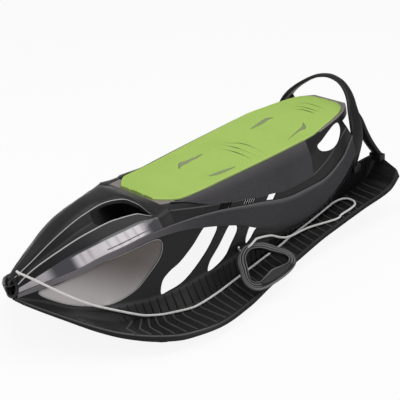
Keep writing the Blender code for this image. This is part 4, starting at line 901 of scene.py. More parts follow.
hull_cuts = gathered([both_prisms(outline_yz(shares)) for shares in LEG_OPENINGS + [PANEL_OUTLINE]])
piece("hull_moulding",
      draped(hull_points, marks=hull_marks, keep=hull_keep,
             finish_of=lambda i, j: 1 if 4.0 <= hull_places[j] < 5.0 else 0),
      [hull_black, tray_black], ["lower_hull"], thickness=WALL, mirror=True,
      cuts=[hull_cuts])

# %% [markdown]
# ## Under the trays
# Straight runners keep the sled on its course. A pan closes the nose from below, a flat beam
# ties the trays at the tail, and four blocks carry the feet of the rear handle.

# %% Runners, pan, beam and blocks
KEEL_LINE = [(-0.335, 0.060), (-0.290, 0.0), (0.200, 0.0), (0.290, 0.060), (0.417, 0.155)]
KEELS = [(0.22, -0.325, 0.415), (0.52, -0.310, 0.020)]
KEEL_HALF = 0.006


def runner(share, start, end):
    """A bar under the tray at a share of its width, flat along the snow."""
    ys = spaced([start, end], 0.012)
    floor_in, rim = rail(FLOOR_IN, ys), rail(RIM_TOP, ys)
    line = mix(floor_in, rim, share)
    knots = np.array(KEEL_LINE)
    low = np.minimum(np.interp(ys / LENGTH, knots[:, 0], knots[:, 1]) * HEIGHT, line[:, 2] - 0.0035)
    rings = [[(x - KEEL_HALF, y, z + 0.002), (x - KEEL_HALF + 0.002, y, z),
              (x + KEEL_HALF - 0.002, y, z), (x + KEEL_HALF, y, z + 0.002),
              (x + KEEL_HALF, y, top - 0.0015), (x - KEEL_HALF, y, top - 0.0015)]
             for (x, y, top), z in zip(line, low)]
    return mirrored(lofted(rings))


def wall_x(y, z):
    """Outer face of the side wall and the inner tray wall at a height."""
    levels = np.array([rail(line, [y])[0] for line in (FLOOR_IN, WALL_TOP, SKIRT)])
    levels = np.insert(levels, 2, mix(levels[1], levels[2], 0.5) + WALL_BULGE, axis=0)
    return float(np.interp(z, levels[:, 2], levels[:, 0]))


pan_ys = spaced([-0.485, -0.338], 0.010)
pan_edge = rail(RIM_LOW, pan_ys) + np.array([-WALL / 2, 0, 0.003])
pan_points = np.stack([pan_edge * np.array([share, 1, 1]) - np.array([0, 0, 0.002 * (1 - share**2)])
                       for share in np.linspace(-1, 1, 13)], axis=1)
beam_y, beam_z = 0.452 * LENGTH, 0.270 * HEIGHT
beam = block((0, beam_y, beam_z), (2 * wall_x(beam_y, beam_z) - WALL, 0.040, 0.006))
feet = [((0.4157, 0.446, 0.4050), (0.0200, 0.0240)), ((0.4930, 0.466, 0.4225), (0.0350, 0.0185))]
blocks = [mirrored(block((out * HALF_WIDTH, along * LENGTH, up * HEIGHT - GAP - 0.009),
                         (*size, 0.018))) for (along, out, up), size in feet]
piece("hull_underside", gathered([runner(*keel) for keel in KEELS] + [beam] + blocks),
      [hull_black])
piece("hull_nose_pan", draped(pan_points), [hull_black], thickness=WALL)

# %% [markdown]
# ## Tread and ribs
# Shoes need grip, so the floor of each tray carries bars that are bent like a chevron at the
# front, and the tray's inner wall is stiffened by upright ribs. They are small closed bars that
# follow the surface under them.

# %% Tread bars and wall ribs
BAR_AT = [-0.343, -0.310, -0.285, -0.258, -0.230, -0.205, -0.178, -0.144, -0.083, 0.480]
BAR_BEND = [0.58, 0.48, 0.43, 0.40, 0.36, 0.32, 0.26, 0.25, 0.29, 0.30]
BAR_INNER = [0.032, 0.0245, 0.021, 0.0157, 0.012, 0.0112, 0.0085, 0.008, 0.008, 0.004]
BAR_OUTER = [0.005, 0.0, 0.0015, 0.003, 0.002, 0.005, 0.006, -0.004, -0.010, -0.004]
BAR_PROFILE = [(-0.0028, -0.0006), (-0.0016, 0.0016), (0.0016, 0.0016), (0.0028, -0.0006)]


def floor_point(y, share):
    return mix(rail(FLOOR_IN, [y])[0], rail(RIM_TOP, [y])[0], share)


def tread_bar(y):
    """A chevron: its bend and the lead of both ends change along the tray."""
    bend, inner, outer = (np.interp(y, BAR_AT, values) for values in (BAR_BEND, BAR_INNER, BAR_OUTER))
    plan = smooth_path([(0.03, y + inner), (0.6 * bend, y + 0.35 * inner), (bend, y),
                        (0.5 + 0.5 * bend, y + 0.6 * outer), (0.95, y + outer)], 3)
    path = np.array([floor_point(place, share) for share, place in plan])
    path[:, 1] = plan[:, 1]
    ahead = unit(np.gradient(path, axis=0))
    side = unit(np.cross(ahead, (0, 0, 1)))
    top = np.cross(side, ahead)
    rings = [[point + u * s + v * t for u, v in BAR_PROFILE] for point, s, t in zip(path, side, top)]
    # Painted highlight along the top edges of each bar.
    bar_top_highlight = np.array([[0, 1, 1, 0]] * len(rings), float)
    return lofted(rings, marks={"painted_highlight": bar_top_highlight * 0.35})


def wall_rib(y, radius=0.0014):
    """An upright rib from the top of the tray's inner wall to its foot."""
    top, foot = rail(WALL_TOP, [y])[0], rail(FLOOR_IN, [y])[0]
    path = smooth_path([top + (0.0005, 0, -0.001), mix(top, foot, 0.5) + (0.0006, 0, 0),
                        foot + (0.0005, 0, 0.001)], 3)
    return tube(path, radius, 6)


bars = [tread_bar(y) for y in np.arange(-0.366, 0.470, 0.0235)]
piece("tray_treads", mirrored(gathered(bars)), [tray_black])
ribs = [wall_rib(y) for y in np.arange(-0.345, 0.335, 0.0185)]
ribs += [wall_rib(y, 0.0011) for y in np.arange(0.335, 0.470, 0.0095)]
piece("tray_wall_ribs", mirrored(gathered(ribs)), [tray_black])

# %% [markdown]
# ## Glossy panels in the nose
# A polished panel sits in a window on each side of the nose, a little behind the surface. Its light
# colour, fading to dark toward the top and the rear, is a painted reflection, and a light tube along
# the window's edge is a painted highlight. The panel follows the same lines as the wall, so it is
# the wall's own grid, pushed in and trimmed with the window's outline.

# %% Nose panels
PANEL_SINK, PANEL_THICKNESS = 0.0012, 0.0016
panel_rows = hull_ys < JOINT * LENGTH
panel_columns = (hull_places > 0.95) & (hull_places < 4.2)
panel_points = hull_points[panel_rows][:, panel_columns]
window = outline_yz(PANEL_OUTLINE)
piece("nose_panels",
      draped(panel_points - outward(panel_points) * PANEL_SINK), [panel_painted_reflection],
      ["nose_panel_left", "nose_panel_right"], thickness=PANEL_THICKNESS, mirror=True,
      within=[both_prisms(window)])

# A light-grey tube along the window's edge: a painted highlight.
rim_highlight_line = black_plastic("rim_highlight_line", (166, 164, 163), 0.34)
rim_path = np.array([(wall_x(y, z) + 0.0003, y, z) for y, z in window])
piece("nose_panel_rims", mirrored(tube(rim_path, 0.0008, 6, closed=True)), [rim_highlight_line])

# %% [markdown]
# ## Nose cover
# The bonnet is a sheet with two creases, a trough between them and a glossy strip under them.
# Where the trough opens, a hand fits round the bar. Creases are narrow arcs in the grid, and a
# mark on their corners tells the finish where to paint a highlight.

# %% Nose cover
GRAB_FRONT, GRAB_REAR = -0.310, -0.201
cover_ys = spaced([-0.495, GRAB_FRONT, GRAB_REAR, JOINT], 0.003)
brow, gutter = rail(BROW, cover_ys), rail(GUTTER, cover_ys)
trough = np.stack([mix(brow, gutter, 0.35)[:, 0], cover_ys, mix(brow, gutter, 0.85)[:, 2]], axis=-1)
cover_columns = [rail(SPINE, cover_ys), rail(SHOULDER, cover_ys), brow, trough, gutter]
cover_columns += [rail(line, cover_ys) for line in (CHEEK, STRIP, WAIST)] + [split_line(cover_ys)]
cover_points, cover_places = section(cover_columns,
                                     [0, 0.030, 0.0018, 0.006, 0.0018, 0.0022, 0.010, 0.002, 0], 5)
# The bar mark places darker bands inside the strip's painted reflection, the upper mark keeps that
# painted reflection on the strip's upper part, and the painted_highlight mark lays painted highlights
# along the brow and gutter.
REFLECTION_BARS = [-0.3727, -0.3559, -0.3164, -0.2961, -0.2755, -0.2564, -0.2372, -0.2247]
reflection_bar_share = np.max([np.exp(-((cover_ys - y) / 0.0034)**2) for y in REFLECTION_BARS], axis=0)
inside_strip = np.clip(1.4 - np.abs(cover_places - 6.0), 0, 1)
ahead_of_dip = np.clip((-0.196 - cover_ys / LENGTH) / 0.012, 0, 1)[:, None]
cover_marks = {"painted_highlight": highlight_marks(len(cover_ys), cover_places, [2, 4]) * ahead_of_dip,
               "bar": reflection_bar_share[:, None] * inside_strip,
               "upper": np.ones((len(cover_ys), 1)) * np.clip(6.0 - cover_places, 0, 1)}


def cover_finish(i, j):
    """1 on the glossy strip and 0 elsewhere."""
    return 1 if 5.05 < cover_places[j] < 6.95 and cover_ys[i] < -0.199 else 0


print("cover grid", cover_points.shape[:2])

# %% [markdown]
# The hand's opening follows the trough between brow and gutter, and the rope comes out of a round
# hole ahead of it. Both are solids that are taken away from the finished sheet.


# %% Openings of the bonnet
def upright(work):
    """Turns a solid that was drawn in (y, z) so that its outline lies in (x, y)."""
    turn = Matrix(((0, 1, 0, 0), (0, 0, 1, 0), (1, 0, 0, 0), (0, 0, 0, 1)))
    bmesh.ops.transform(work, matrix=turn, verts=work.verts)
    return work


grab_ys = np.linspace(GRAB_FRONT * LENGTH + 0.004, GRAB_REAR * LENGTH - 0.002, 16)
grab_inset = np.array([0.0014, 0])
grab_inner = rail(BROW, grab_ys)[:, :2] + grab_inset
grab_outer = rail(GUTTER, grab_ys)[:, :2] - grab_inset
grab_tip = mix(grab_inner[0], grab_outer[0], 0.5) - np.array([0, 0.004])
grab_outline = np.vstack([grab_tip[None], grab_inner, grab_outer[::-1]])
grab_cut = mirrored(upright(prism(grab_outline, 0.15, 0.35)))
rope_ahead = (Vector(ROPE_ROUTE[2]) - Vector(ROPE_ROUTE[0])).normalized() * 0.012
rope_eye = tube(np.array([Vector(ROPE_ROUTE[1]) - rope_ahead, Vector(ROPE_ROUTE[1]) + rope_ahead]),
                0.0044, 24)
piece("nose_cover_moulding", draped(cover_points, marks=cover_marks,
                                    finish_of=cover_finish),
      [cover_black, strip_gloss], ["nose_cover"], thickness=WALL, mirror=True,
      cuts=[grab_cut, rope_eye])

# %% [markdown]
# The hand's openings look into a dark hollow. A shelf under them closes the bonnet toward the
# snow: a plain sheet from one side wall to the other, a little over the belt's upper edge.

# %% Shelf under the bonnet
shelf_ys = spaced([-0.322, -0.170], 0.008)
shelf_side = rail(WAIST, shelf_ys) + np.array([-0.006, 0, 0.006])
shelf_points = np.stack([shelf_side * np.array([share, 1, 1])
                         for share in np.linspace(0, 1, 7)], axis=1)
piece("bonnet_shelf", draped(shelf_points), [tray_black], thickness=0.002, mirror=True)

# %% [markdown]
# ## Nose lip
# The tip of the nose is open, and a thick rounded lip runs round the hole. A closed tube through
# a few given points is that lip.

# %% Nose lip
LIP = [(0.0, -0.4990, 0.1655), (0.0125, -0.4990, 0.1600), (0.0190, -0.4990, 0.1490),
       (0.0190, -0.5000, 0.1370), (0.0140, -0.5030, 0.1270), (0.0070, -0.5060, 0.1225),
       (0.0, -0.5070, 0.1215)]
lip_loop = LIP + [(-x, y, z) for x, y, z in LIP[-2:0:-1]]
piece("nose_lip", tube(smooth_path(lip_loop, 8, closed=True), 0.0030, 12, closed=True),
      [cover_black])

# %% [markdown]
# ## Belt and flank panels
# A grained belt covers the joint of the upper shells and the hull from the nose to the tail, and
# a grained panel lies on each flank. Both are thin strips with rounded edges. A ring of points
# round the strip at each place along the sled makes them, which gives control of the edge.

# %% Strips
SKIN, SKIN_EDGE = 0.0025, 0.0009


def strip_rings(grid, low, high, edge):
    """Rings round a strip over a grid, from one height over it to another."""
    normal = outward(grid)
    first, last = grid[:, 0], grid[:, -1]
    first_in = first + edge * unit(grid[:, 1] - first)
    last_in = last + edge * unit(grid[:, -2] - last)
    columns = [first + normal[:, 0] * low, first + normal[:, 0] * (high - edge),
               mix(first, first_in, 0.3) + normal[:, 0] * (high - 0.3 * edge),
               first_in + normal[:, 0] * high]
    columns += [grid[:, j] + normal[:, j] * high for j in range(1, grid.shape[1] - 1)]
    columns += [last_in + normal[:, -1] * high,
                mix(last, last_in, 0.3) + normal[:, -1] * (high - 0.3 * edge),
                last + normal[:, -1] * (high - edge), last + normal[:, -1] * low]
    columns += [grid[:, j] + normal[:, j] * low for j in range(grid.shape[1] - 2, 0, -1)]
    return np.stack(columns, axis=1)


def edge_marks(rings, upper, lower):
    """Painted highlights along the first and the last border of a strip."""
    marks = np.zeros(rings.shape[:2])
    half = rings.shape[1] // 2
    marks[:, 1:4] = upper
    marks[:, half + 1:half + 4] = lower
    return marks


def strip(name, grid, finish, stands_for, upper, lower):
    """A thin strip over a grid on both sides of the sled."""
    rings = strip_rings(grid, GAP, GAP + SKIN, SKIN_EDGE)
    # upper and lower are the strengths of the painted highlights along the two borders.
    marks = {"painted_highlight": edge_marks(rings, upper, lower)}
    return piece(name, mirrored(lofted(rings, marks=marks)), [finish], stands_for)


print("strips are", SKIN, "m thick")

# %% [markdown]
# The belt is a strip from the waist to the skirt. The flank panel has a corner along the flank's
# line, and toward the nose its lines are read a little further back, so that it gets narrower.

# %% Belt and flank panels
belt_ys = spaced([-0.495, SHELL_TAIL], 0.006)
belt_grid = np.stack([mix(rail(WAIST, belt_ys), rail(SKIRT, belt_ys), share)
                      for share in np.linspace(0, 1, 7)], axis=1)
strip("side_belts", belt_grid, belt_black, ["side_rail_left", "side_rail_right"], 0.5, 0.15)


def deck_edge(ys):
    """The deck's upper edge, drawn in under the rim of the pad along the middle."""
    edge_line = rail(DECK_EDGE, ys)
    shares = np.asarray(ys) / LENGTH
    inward = np.clip((shares + 0.118) / 0.05, 0, 1) * np.clip((0.30 - shares) / 0.05, 0, 1)
    edge_line[:, 0] -= 0.0062 * inward * inward * (3 - 2 * inward)
    return edge_line


flank_ys = spaced([-0.142, 0.257], 0.006)
taper = np.clip((0.20 - flank_ys) / 0.343, 0, 1) ** 2
flank_columns = [deck_edge(flank_ys), rail(FLANK, flank_ys + 0.035 * taper),
                 rail(BAND, flank_ys + 0.085 * taper)]
flank_points = section(flank_columns, [0, 0.010, 0], 5)[0]
strip("flank_panels", flank_points, flank_black, ["flank_panel_left", "flank_panel_right"], 0.4, 0.3)

# %% [markdown]
# ## Seat deck
# The deck bridges the two trays. Its top is sunk to take the pad, its flanks carry slots and a
# large hole on each side. The shell is a grid, and the recess, slots and holes are cut from it.

# %% Cuts of the deck
SIDE_HOLE = [(0.290, 0.669), (0.294, 0.636), (0.309, 0.609), (0.334, 0.594), (0.357, 0.606),
             (0.375, 0.645), (0.389, 0.698), (0.387, 0.734), (0.369, 0.739), (0.342, 0.719),
             (0.309, 0.687)]
BAND_SLOTS = [(-0.044, 5, 0.0068, 0.0042, 0.012), (0.028, 5, 0.0068, 0.0042, 0.012),
              (0.099, 1, 0.0, 0.0240, 0.013)]
PAD_SIDE = [(-0.156, 0.189), (-0.110, 0.332), (0.0, 0.353), (0.149, 0.378), (0.280, 0.388),
            (0.347, 0.343), (0.397, 0.300), (0.427, 0.262), (0.445, 0.215), (0.455, 0.150)]
PAD_FRONT, PAD_REAR = -0.1558, 0.4549
PAD_THICKNESS, PAD_PROUD, PAD_CROWN = 0.0105, 0.0045, 0.0015
RECESS_MARGIN, RECESS_DEPTH = 0.0010, PAD_THICKNESS - PAD_PROUD + GAP


def pad_side(ys):
    knots = np.array(PAD_SIDE)
    return smooth_values(knots[:, 0], knots[:, 1], np.asarray(ys) / LENGTH) * HALF_WIDTH


def deck_z(ys):
    return rail(DECK_EDGE, ys)[:, 2]


def recess(margin, depth, rise):
    """A block over the pad's outline, wider by a margin, from a depth below the deck upward."""
    ys = spaced([PAD_FRONT, -0.110, PAD_REAR], 0.008)
    sides, levels = pad_side(ys) + margin, deck_z(ys)
    ys = ys + margin * np.r_[-1, np.zeros(len(ys) - 2), 1]
    return lofted([[(-side, y, z - depth), (side, y, z - depth), (side, y, z + rise),
                    (-side, y, z + rise)] for side, y, z in zip(sides, ys, levels)])


def slot_cuts():
    """Slanted slots through the band on both flanks."""
    cuts = []
    for first, count, pitch, width, lean in BAND_SLOTS:
        for k in range(count):
            y = first + k * pitch
            low = float(rail(WAIST, [y])[0][2]) + 0.0010
            high = float(rail(BAND, [y])[0][2])
            cuts.append(both_prisms([(y, low), (y + width, low - 0.25 * width),
                                     (y + width + lean, high - 0.25 * width), (y + lean, high)]))
    return gathered(cuts)


print("slots on each side:", sum(count for _, count, *_ in BAND_SLOTS))

# %% [markdown]
# The grid of the deck goes from the middle over the edge and down the flank. The last bit of its
# top carries on behind the shells, as the tail that the hoop stands on.

# %% Seat deck
deck_ys = spaced([JOINT + GAP / LENGTH, PAD_FRONT, SHELL_TAIL, DECK_TAIL], 0.006)
deck_columns = [deck_edge(deck_ys) * np.array([out, 1, 1]) for out in (0, 0.82, 1)]
deck_columns += [rail(line, deck_ys) for line in (FLANK, BAND, WAIST)] + [split_line(deck_ys)]
deck_points, deck_places = section(deck_columns, [0, 0.001, 0.004, 0.008, 0.002, 0.002, 0], 4)
# Painted highlight along the corner at the band.
deck_marks = {"painted_highlight": highlight_marks(len(deck_ys), deck_places, [4]) * 0.35}


def deck_finish(i, j):
    """The rim round the pad gets a painted grey reflection at the front and the rear only."""
    at_end = deck_ys[i] < -0.128 * LENGTH or deck_ys[i] > 0.31 * LENGTH
    return 1 if deck_places[j] < 1.95 and at_end else 0


def deck_keep(i, j):
    """Behind the shells' end only the top goes on, without its flanks."""
    return deck_ys[i] < SHELL_TAIL * LENGTH - 1e-6 or deck_places[j] < 2.95


piece("deck_moulding",
      draped(deck_points, marks=deck_marks, keep=deck_keep, finish_of=deck_finish),
      [deck_black, rim_painted_reflection], ["seat_deck"], thickness=WALL, mirror=True,
      cuts=[recess(RECESS_MARGIN, RECESS_DEPTH, 0.02), slot_cuts(),
            both_prisms(outline_yz(SIDE_HOLE))])
piece("deck_pad_tray",
      recess(RECESS_MARGIN + WALL, RECESS_DEPTH + WALL, -WALL / 2), [deck_black],
      cuts=[recess(RECESS_MARGIN, RECESS_DEPTH, 0.02)])

# %% [markdown]
# ## Seat pad
# The pad is one sheet of moulded foam, a centimetre thick, crowned a little and rounded at its
# rim. Its pattern is a few pressed arcs and tapering notches. Each corner of its fine grid
# carries its distance to the nearest line as a mark, and the finish turns that into a groove with
# painted shade in it.

# %% Pad pattern
ARCS = [[(-0.0367, 0.1389), (-0.0181, 0.1469), (0.005, 0.159), (0.0389, 0.16), (0.0936, 0.1495)],
        [(-0.037, 0.1261), (-0.0049, 0.1338), (0.0282, 0.1357), (0.0884, 0.1297)],
        [(-0.0324, 0.1087), (0.0126, 0.1165), (0.0468, 0.117), (0.0813, 0.1136)],
        [(-0.044, 0.3989), (-0.0257, 0.4117), (0.0053, 0.4137), (0.0435, 0.4092)],
        [(-0.0352, 0.3857), (-0.0151, 0.3905), (0.0135, 0.3914), (0.0441, 0.391)],
        [(-0.0282, 0.3708), (-0.0036, 0.3778), (0.019, 0.3788), (0.0408, 0.3767)]]
NOTCHES = [[(-0.0374, 0.0027), (-0.0336, 0.0241), (-0.0296, 0.0676), (-0.0243, 0.0518),
            (-0.0219, 0.016), (-0.022, -0.0034), (-0.0169, -0.0161)],
           [(0.067, -0.0028), (0.072, 0.0326), (0.0825, 0.0646), (0.0829, 0.0343),
            (0.0773, 0.0088)],
           [(-0.0337, 0.2311), (-0.0437, 0.281), (-0.0431, 0.2979), (-0.0311, 0.3081),
            (-0.0338, 0.2934), (-0.0295, 0.2663)],
           [(0.084, 0.2334), (0.0684, 0.2882), (0.0648, 0.3051), (0.0525, 0.3223),
            (0.0737, 0.3079), (0.0775, 0.2974), (0.0754, 0.2823)]]
PAD_EDGE = 0.0035


def gaps_to(places, path):
    """Distances in plan from each place to each of the close points of a path."""
    return np.linalg.norm(places[:, None, :] - path[None], axis=2)


def inside(places, outline):
    """Which places lie inside a closed outline, by counting crossings."""
    result = np.zeros(len(places), bool)
    for (x0, y0), (x1, y1) in zip(outline, np.roll(outline, -1, axis=0)):
        crosses = (y0 > places[:, 1]) != (y1 > places[:, 1])
        rise = (y1 - y0) if y1 != y0 else 1e-12
        result ^= crosses & (places[:, 0] < (x1 - x0) * (places[:, 1] - y0) / rise + x0)
    return result


print("pattern:", len(ARCS), "arcs and", len(NOTCHES), "notches")

# %% [markdown]
# The grid is finer toward the rim, where the sheet falls off in a quarter of a circle. Its
# distance from the rim gives that fall, and the crown fades out toward the rim as well.

# %% Pad grid
pad_ys = np.concatenate([np.linspace(PAD_FRONT * LENGTH, -0.145, 12)[:-1],
                         np.linspace(-0.145, 0.446, 420)[:-1],
                         np.linspace(0.446, PAD_REAR * LENGTH, 12)])
spread_out = np.sin(np.linspace(-math.pi / 2, math.pi / 2, 151) * 0.94) / math.sin(0.47 * math.pi)
side_x = pad_side(pad_ys)
pad_x = side_x[:, None] * spread_out[None, :]
pad_y = np.repeat(pad_ys[:, None], len(spread_out), axis=1)
near_side = np.stack([side_x, pad_ys], axis=1)
border = smooth_path(np.vstack([near_side, near_side[::-1] * np.array([-1, 1])]), 3, closed=True)
flat = np.stack([pad_x.ravel(), pad_y.ravel()], axis=1)
from_edge = np.concatenate([gaps_to(rows, border).min(axis=1) for rows in np.array_split(flat, 60)])
from_edge = from_edge.reshape(pad_x.shape)
fall = np.clip(1 - from_edge / PAD_EDGE, 0, 1)
crown = PAD_CROWN * np.clip(1 - (pad_x / side_x[:, None])**2, 0, 1) * np.clip(from_edge / 0.02, 0, 1)
pad_top = deck_z(pad_ys)[:, None] + PAD_PROUD + crown - PAD_EDGE * (1 - np.sqrt(1 - fall**2))
pad_points = np.stack([pad_x, pad_y, pad_top], axis=-1)
print("pad grid", pad_points.shape[:2])

# %% [markdown]
# An arc is widest at its middle, so half its width is taken from the distance there. A notch is
# an outline, and the distance counts as negative inside it.

# %% Pad marks
emboss = np.full(len(flat), 1.0)
for arc in ARCS:
    arc_points = smooth_path(arc, 24)
    gaps = gaps_to(flat, arc_points[::3])
    along_arc = gaps.argmin(axis=1) * 3 / len(arc_points)
    half_width = 0.0008 + 0.0012 * np.sin(math.pi * along_arc)
    emboss = np.minimum(emboss, gaps.min(axis=1) - half_width)
notch = np.full(len(flat), 1.0)
for shape in NOTCHES:
    notch_outline = smooth_path(shape, 6, closed=True)
    gaps = gaps_to(flat, notch_outline).min(axis=1)
    notch = np.minimum(notch, np.where(inside(flat, notch_outline), -gaps, gaps))
# The first mark is the painted highlight along the rounded rim.
pad_marks = {"painted_highlight": np.clip(fall - 0.15, 0, 0.6), "emboss": emboss.reshape(pad_x.shape),
             "notch": notch.reshape(pad_x.shape)}
print("pad marks", list(pad_marks))

# %% [markdown]
# The sheet gets its wall by pulling its border straight down and closing the underside. Six pegs
# hold it: they pass through the deck, with a push-on washer on each.

# %% Pad wall and pegs
sheet = draped(pad_points, marks=pad_marks)
wall = bmesh.ops.extrude_edge_only(sheet, edges=[edge for edge in sheet.edges if edge.is_boundary])
wall_foot = [item for item in wall["geom"] if isinstance(item, bmesh.types.BMVert)]
bmesh.ops.translate(sheet, verts=wall_foot, vec=(0, 0, PAD_EDGE - PAD_THICKNESS))
bmesh.ops.holes_fill(sheet, edges=[edge for edge in sheet.edges if edge.is_boundary], sides=0)
bmesh.ops.recalc_face_normals(sheet, faces=sheet.faces)
pad = piece("foam_pad", sheet, [pad_foam], ["seat_pad"])

PEGS = [(-0.085, 0.175), (0.120, 0.190), (0.333, 0.190)]
peg_tubes = []
for along, out in PEGS:
    x, y = out * HALF_WIDTH, along * LENGTH
    foot = float(deck_z([y])[0]) + PAD_PROUD - PAD_THICKNESS
    peg = np.array([(x, y, foot - 0.0075), (x, y, foot + 0.003)])
    peg_tubes.append(mirrored(tube(peg, 0.003, 16)))
piece("pad_pegs", gathered(peg_tubes), [pad_foam])

# %% [markdown]
# ## Rear handle
# A flat bar rises from the deck, sweeps over the tail as a hoop and is held by two stays. Rings
# whose sides bulge a little make the bar, and their width and thickness change along the way.

# %% Hoop
HOOP_PATH = [(0.4157, 0.446, 0.4050, 0.016, 0.0075), (0.4160, 0.446, 0.4164, 0.016, 0.0075),
             (0.4187, 0.455, 0.478, 0.022, 0.0095), (0.4256, 0.448, 0.567, 0.035, 0.0110),
             (0.4301, 0.427, 0.651, 0.040, 0.0120), (0.4345, 0.391, 0.738, 0.037, 0.0120),
             (0.4410, 0.349, 0.798, 0.032, 0.0115), (0.4515, 0.300, 0.844, 0.027, 0.0105),
             (0.4610, 0.243, 0.882, 0.023, 0.0095), (0.4680, 0.178, 0.916, 0.020, 0.0088),
             (0.4725, 0.105, 0.940, 0.018, 0.0084), (0.4745, 0.0, 0.953, 0.018, 0.0082)]
half_hoop = np.array([(out * HALF_WIDTH, along * LENGTH, up * HEIGHT, width, thickness)
                      for along, out, up, width, thickness in HOOP_PATH])
hoop_path = smooth_path(np.vstack([half_hoop, half_hoop[-2::-1] * np.array([-1, 1, 1, 1, 1])]), 7)
turns = np.linspace(0, 2 * math.pi, 24, endpoint=False)
hoop_rings, hoop_highlight = [], []
for k, (x, y, z, width, thickness) in enumerate(hoop_path):
    ahead = hoop_path[min(k + 1, len(hoop_path) - 1)] - hoop_path[max(k - 1, 0)]
    ahead = Vector((0 if k in (0, len(hoop_path) - 1) else ahead[0], 0, ahead[2])).normalized()
    out = np.array((ahead.z, 0, -ahead.x))
    wide = np.sign(np.cos(turns)) * np.abs(np.cos(turns)) ** 0.7 * width / 2
    thick = np.sign(np.sin(turns)) * np.abs(np.sin(turns)) ** 0.7 * thickness / 2
    hoop_rings.append(np.array((x, y, z)) + np.outer(wide, (0, 1, 0)) + np.outer(thick, out))
    # Painted highlight along one face of the bar.
    hoop_highlight.append(0.6 * np.clip(-np.sin(turns), 0, 1) ** 4)
print("hoop rings", len(hoop_rings))

# %% [markdown]
# A stay is an upright bar with an oval section behind each leg. Hoop and stays are one moulding,
# so they are gathered in one piece.

# %% Stays
STAY_HALF_DEPTH = 0.0085
STAY_PATH = [(0.4444, 0.372, 0.764, 0.0100), (0.4554, 0.378, 0.704, 0.0125),
             (0.4653, 0.390, 0.615, 0.0150), (0.4752, 0.413, 0.534, 0.0160),
             (0.4851, 0.443, 0.466, 0.0160), (0.4930, 0.466, 0.4225, 0.0155)]
stay_path = smooth_path([(out * HALF_WIDTH, along * LENGTH, up * HEIGHT, half)
                         for along, out, up, half in STAY_PATH], 5)
stay_rings = [[(x + half * math.cos(a), y + STAY_HALF_DEPTH * math.sin(a), z) for a in turns]
              for x, y, z, half in stay_path]
handle_parts = [lofted(hoop_rings, marks={"painted_highlight": np.array(hoop_highlight)}),
                mirrored(lofted(stay_rings))]
piece("rear_hoop", gathered(handle_parts), [hoop_black], ["rear_handle"])

# %% [markdown]
# ## Tow handle
# The grip is a rounded triangle with two fine grooves along each arm. A profile is drawn from
# the inner edge to the outer edge at each place round the loop, so the grooves keep their
# distance to both edges, and they fade where the broad grip arm carries its grained plate.

# %% Outlines of the grip
# w is half the grip's width and r its reach from the knot
w, r = 0.084, 0.100
outer_half = [(-0.008, 0.0), (-0.006, 0.19 * w), (0.05 * r, 0.48 * w), (0.17 * r, 0.65 * w),
              (0.34 * r, 0.79 * w), (0.54 * r, 0.96 * w), (0.68 * r, w), (0.82 * r, 0.95 * w),
              (0.92 * r, 0.81 * w), (0.97 * r, 0.60 * w), (0.995 * r, 0.30 * w), (r, 0.0)]
inner_half = [(0.007, 0.0), (0.009, 0.14 * w), (0.16 * r, 0.32 * w), (0.26 * r, 0.44 * w),
              (0.38 * r, 0.55 * w), (0.51 * r, 0.69 * w), (0.62 * r, 0.785 * w),
              (0.72 * r, 0.77 * w), (0.0785, 0.61 * w), (0.076, 0.39 * w), (0.0735, 0.21 * w),
              (0.071, 0.0)]


def whole_loop(half):
    """The closed outline from the points of one half."""
    return smooth_path(half + [(x, -y) for x, y in half[-2:0:-1]], 8, closed=True)


outer_loop, inner_loop = whole_loop(outer_half), whole_loop(inner_half)
print("grip outline", len(outer_loop), "points")

# %% [markdown]
# The profile goes round the section of an arm. The strength of a painted highlight is written beside
# each of its points, so that grooves and their painted highlights stay together when one of them is
# moved.

# %% Grip
# (share from the inner to the outer edge, height as a share of half the thickness, painted highlight)
PROFILE = [(0.10, -1.0, 0.0), (0.0, -0.7, 0.0), (0.0, 0.62, 0.0), (0.05, 0.94, 0.9),
           (0.12, 1.0, 0.3), (0.27, 1.0, 0.0), (0.33, 0.74, 0.0), (0.39, 1.0, 0.9),
           (0.61, 1.0, 0.0), (0.67, 0.74, 0.0), (0.73, 1.0, 0.9), (0.88, 1.0, 0.0),
           (0.95, 0.94, 0.5), (1.0, 0.62, 0.9), (1.0, -0.7, 0.0), (0.90, -1.0, 0.0)]
on_grip_arm = np.clip((outer_loop[:, 0] - 0.055) / 0.02, 0, 1)
off_corners = np.clip((0.070 - np.abs(outer_loop[:, 1])) / 0.01, 0, 1)
grip_rings, grip_highlight = [], []
for inner_point, outer_point, plain in zip(inner_loop, outer_loop, on_grip_arm * off_corners):
    ring, light = [], []
    for share, height, highlight in PROFILE:
        u, v = mix(inner_point, outer_point, share)
        groove = 0.2 < share < 0.8
        height = mix(height, 1.0, plain) if groove else height
        ring.append(handle_place @ Vector((u, v, height * HANDLE_THICKNESS / 2)))
        light.append(highlight * (1 - plain) if groove else highlight)
    grip_rings.append(ring)
    grip_highlight.append(light)
grip_rings.append(grip_rings[0])
grip_highlight.append(grip_highlight[0])
bore_ends = [handle_place @ Vector((0, 0, z)) for z in (-0.012, 0.012)]
piece("tow_grip_ring", lofted(grip_rings, caps=False, marks={"painted_highlight": np.array(grip_highlight)}),
      [handle_black], ["tow_handle"], cuts=[tube(np.array(bore_ends), 0.0034, 24)],
      body="tow_grip")

# %% [markdown]
# ## CAD nodes that stay
# The grip's plate, the screws and the washers are right as they are. They keep their meshes and
# only get a finish.

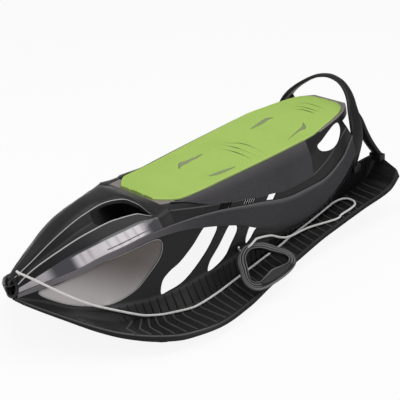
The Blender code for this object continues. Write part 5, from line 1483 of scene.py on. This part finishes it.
# %% Finishes for the CAD nodes that stay
washer_black = black_plastic("washer_black", (40, 40, 41), 0.45)
plate_black = black_plastic("plate_black", (56, 55, 57), 0.55, grain=900, depth=0.0002)
kept_finishes = {"rail_screw": steel, "pad_clip": washer_black, "grip_plate": plate_black}
for name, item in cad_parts.items():
    for start, finish in kept_finishes.items():
        if name.startswith(start):
            for slot in item.material_slots:
                slot.material = finish.material
print("finished the CAD nodes")

# %% [markdown]
# ## Floor and light
# The photograph was taken on white. The floor is pale and matt. To the camera it is partly a
# plain white, so that it melts into the background, and the rest of it still takes the sled's
# soft shadow. Three broad lamps light the sled as softboxes do.

# %% Floor and world
def camera_sees(graph, share, lit, plain, output):
    """The camera sees a plain shader by a share, and the light meets the lit one."""
    ray = graph.node("ShaderNodeLightPath", {}, {}, "Is Camera Ray")
    mixed = graph.node("ShaderNodeMixShader", {}, {0: ray * share, 1: lit, 2: plain})
    graph.tree.links.new(mixed.socket, graph.tree.nodes[output].inputs[0])


floor_work = bmesh.new()
bmesh.ops.create_grid(floor_work, x_segments=1, y_segments=1, size=6.0)
bmesh.ops.translate(floor_work, verts=floor_work.verts, vec=(0, 0, -0.0015))
floor = placed("studio_floor", floor_work)
paper = Finish("paper", (246, 246, 246), 0.9)
glow = paper.node("ShaderNodeEmission", {}, {})
camera_sees(paper, 0.90, Tap(paper, paper.shader.outputs[0]), glow, "Material Output")
floor.data.materials.append(paper.material)

world = bpy.data.worlds.new("studio")
bpy.context.scene.world = world
world.use_nodes = True
studio = Graph(world.node_tree)
sky = studio.tree.nodes["Background"]
sky.inputs["Color"].default_value = (0.44, 0.44, 0.45, 1)
white = studio.node("ShaderNodeBackground", {}, {"Color": (1, 1, 1, 1)})
camera_sees(studio, 1.0, Tap(studio, sky.outputs[0]), white, "World Output")
print("floor and world ready")

# %% [markdown]
# The top lamp is the widest and gives the soft sheen on the bonnet and the deck. The two at the
# sides are weaker and keep the side walls and the flanks from going all black.


# %% Lamps
def softbox(name, place, target, size, power):
    light = bpy.data.lights.new(name, "AREA")
    light.shape = "RECTANGLE"
    light.size, light.size_y = size
    light.energy = power
    item = bpy.data.objects.new(name, light)
    bpy.context.scene.collection.objects.link(item)
    item.location = place
    item.rotation_euler = (Vector(target) - Vector(place)).to_track_quat("-Z", "Y").to_euler()


softbox("softbox_top", (0.2, 0.1, 2.6), (0, 0, 0.1), (2.2, 2.2), 26)
softbox("softbox_left", (-1.6, -1.9, 1.7), (0, 0, 0.15), (1.4, 1.4), 14)
softbox("softbox_right", (2.4, 0.4, 1.3), (0, 0, 0.15), (1.2, 1.2), 8)
bpy.context.scene.view_settings.view_transform = "Standard"
print("lamps ready")
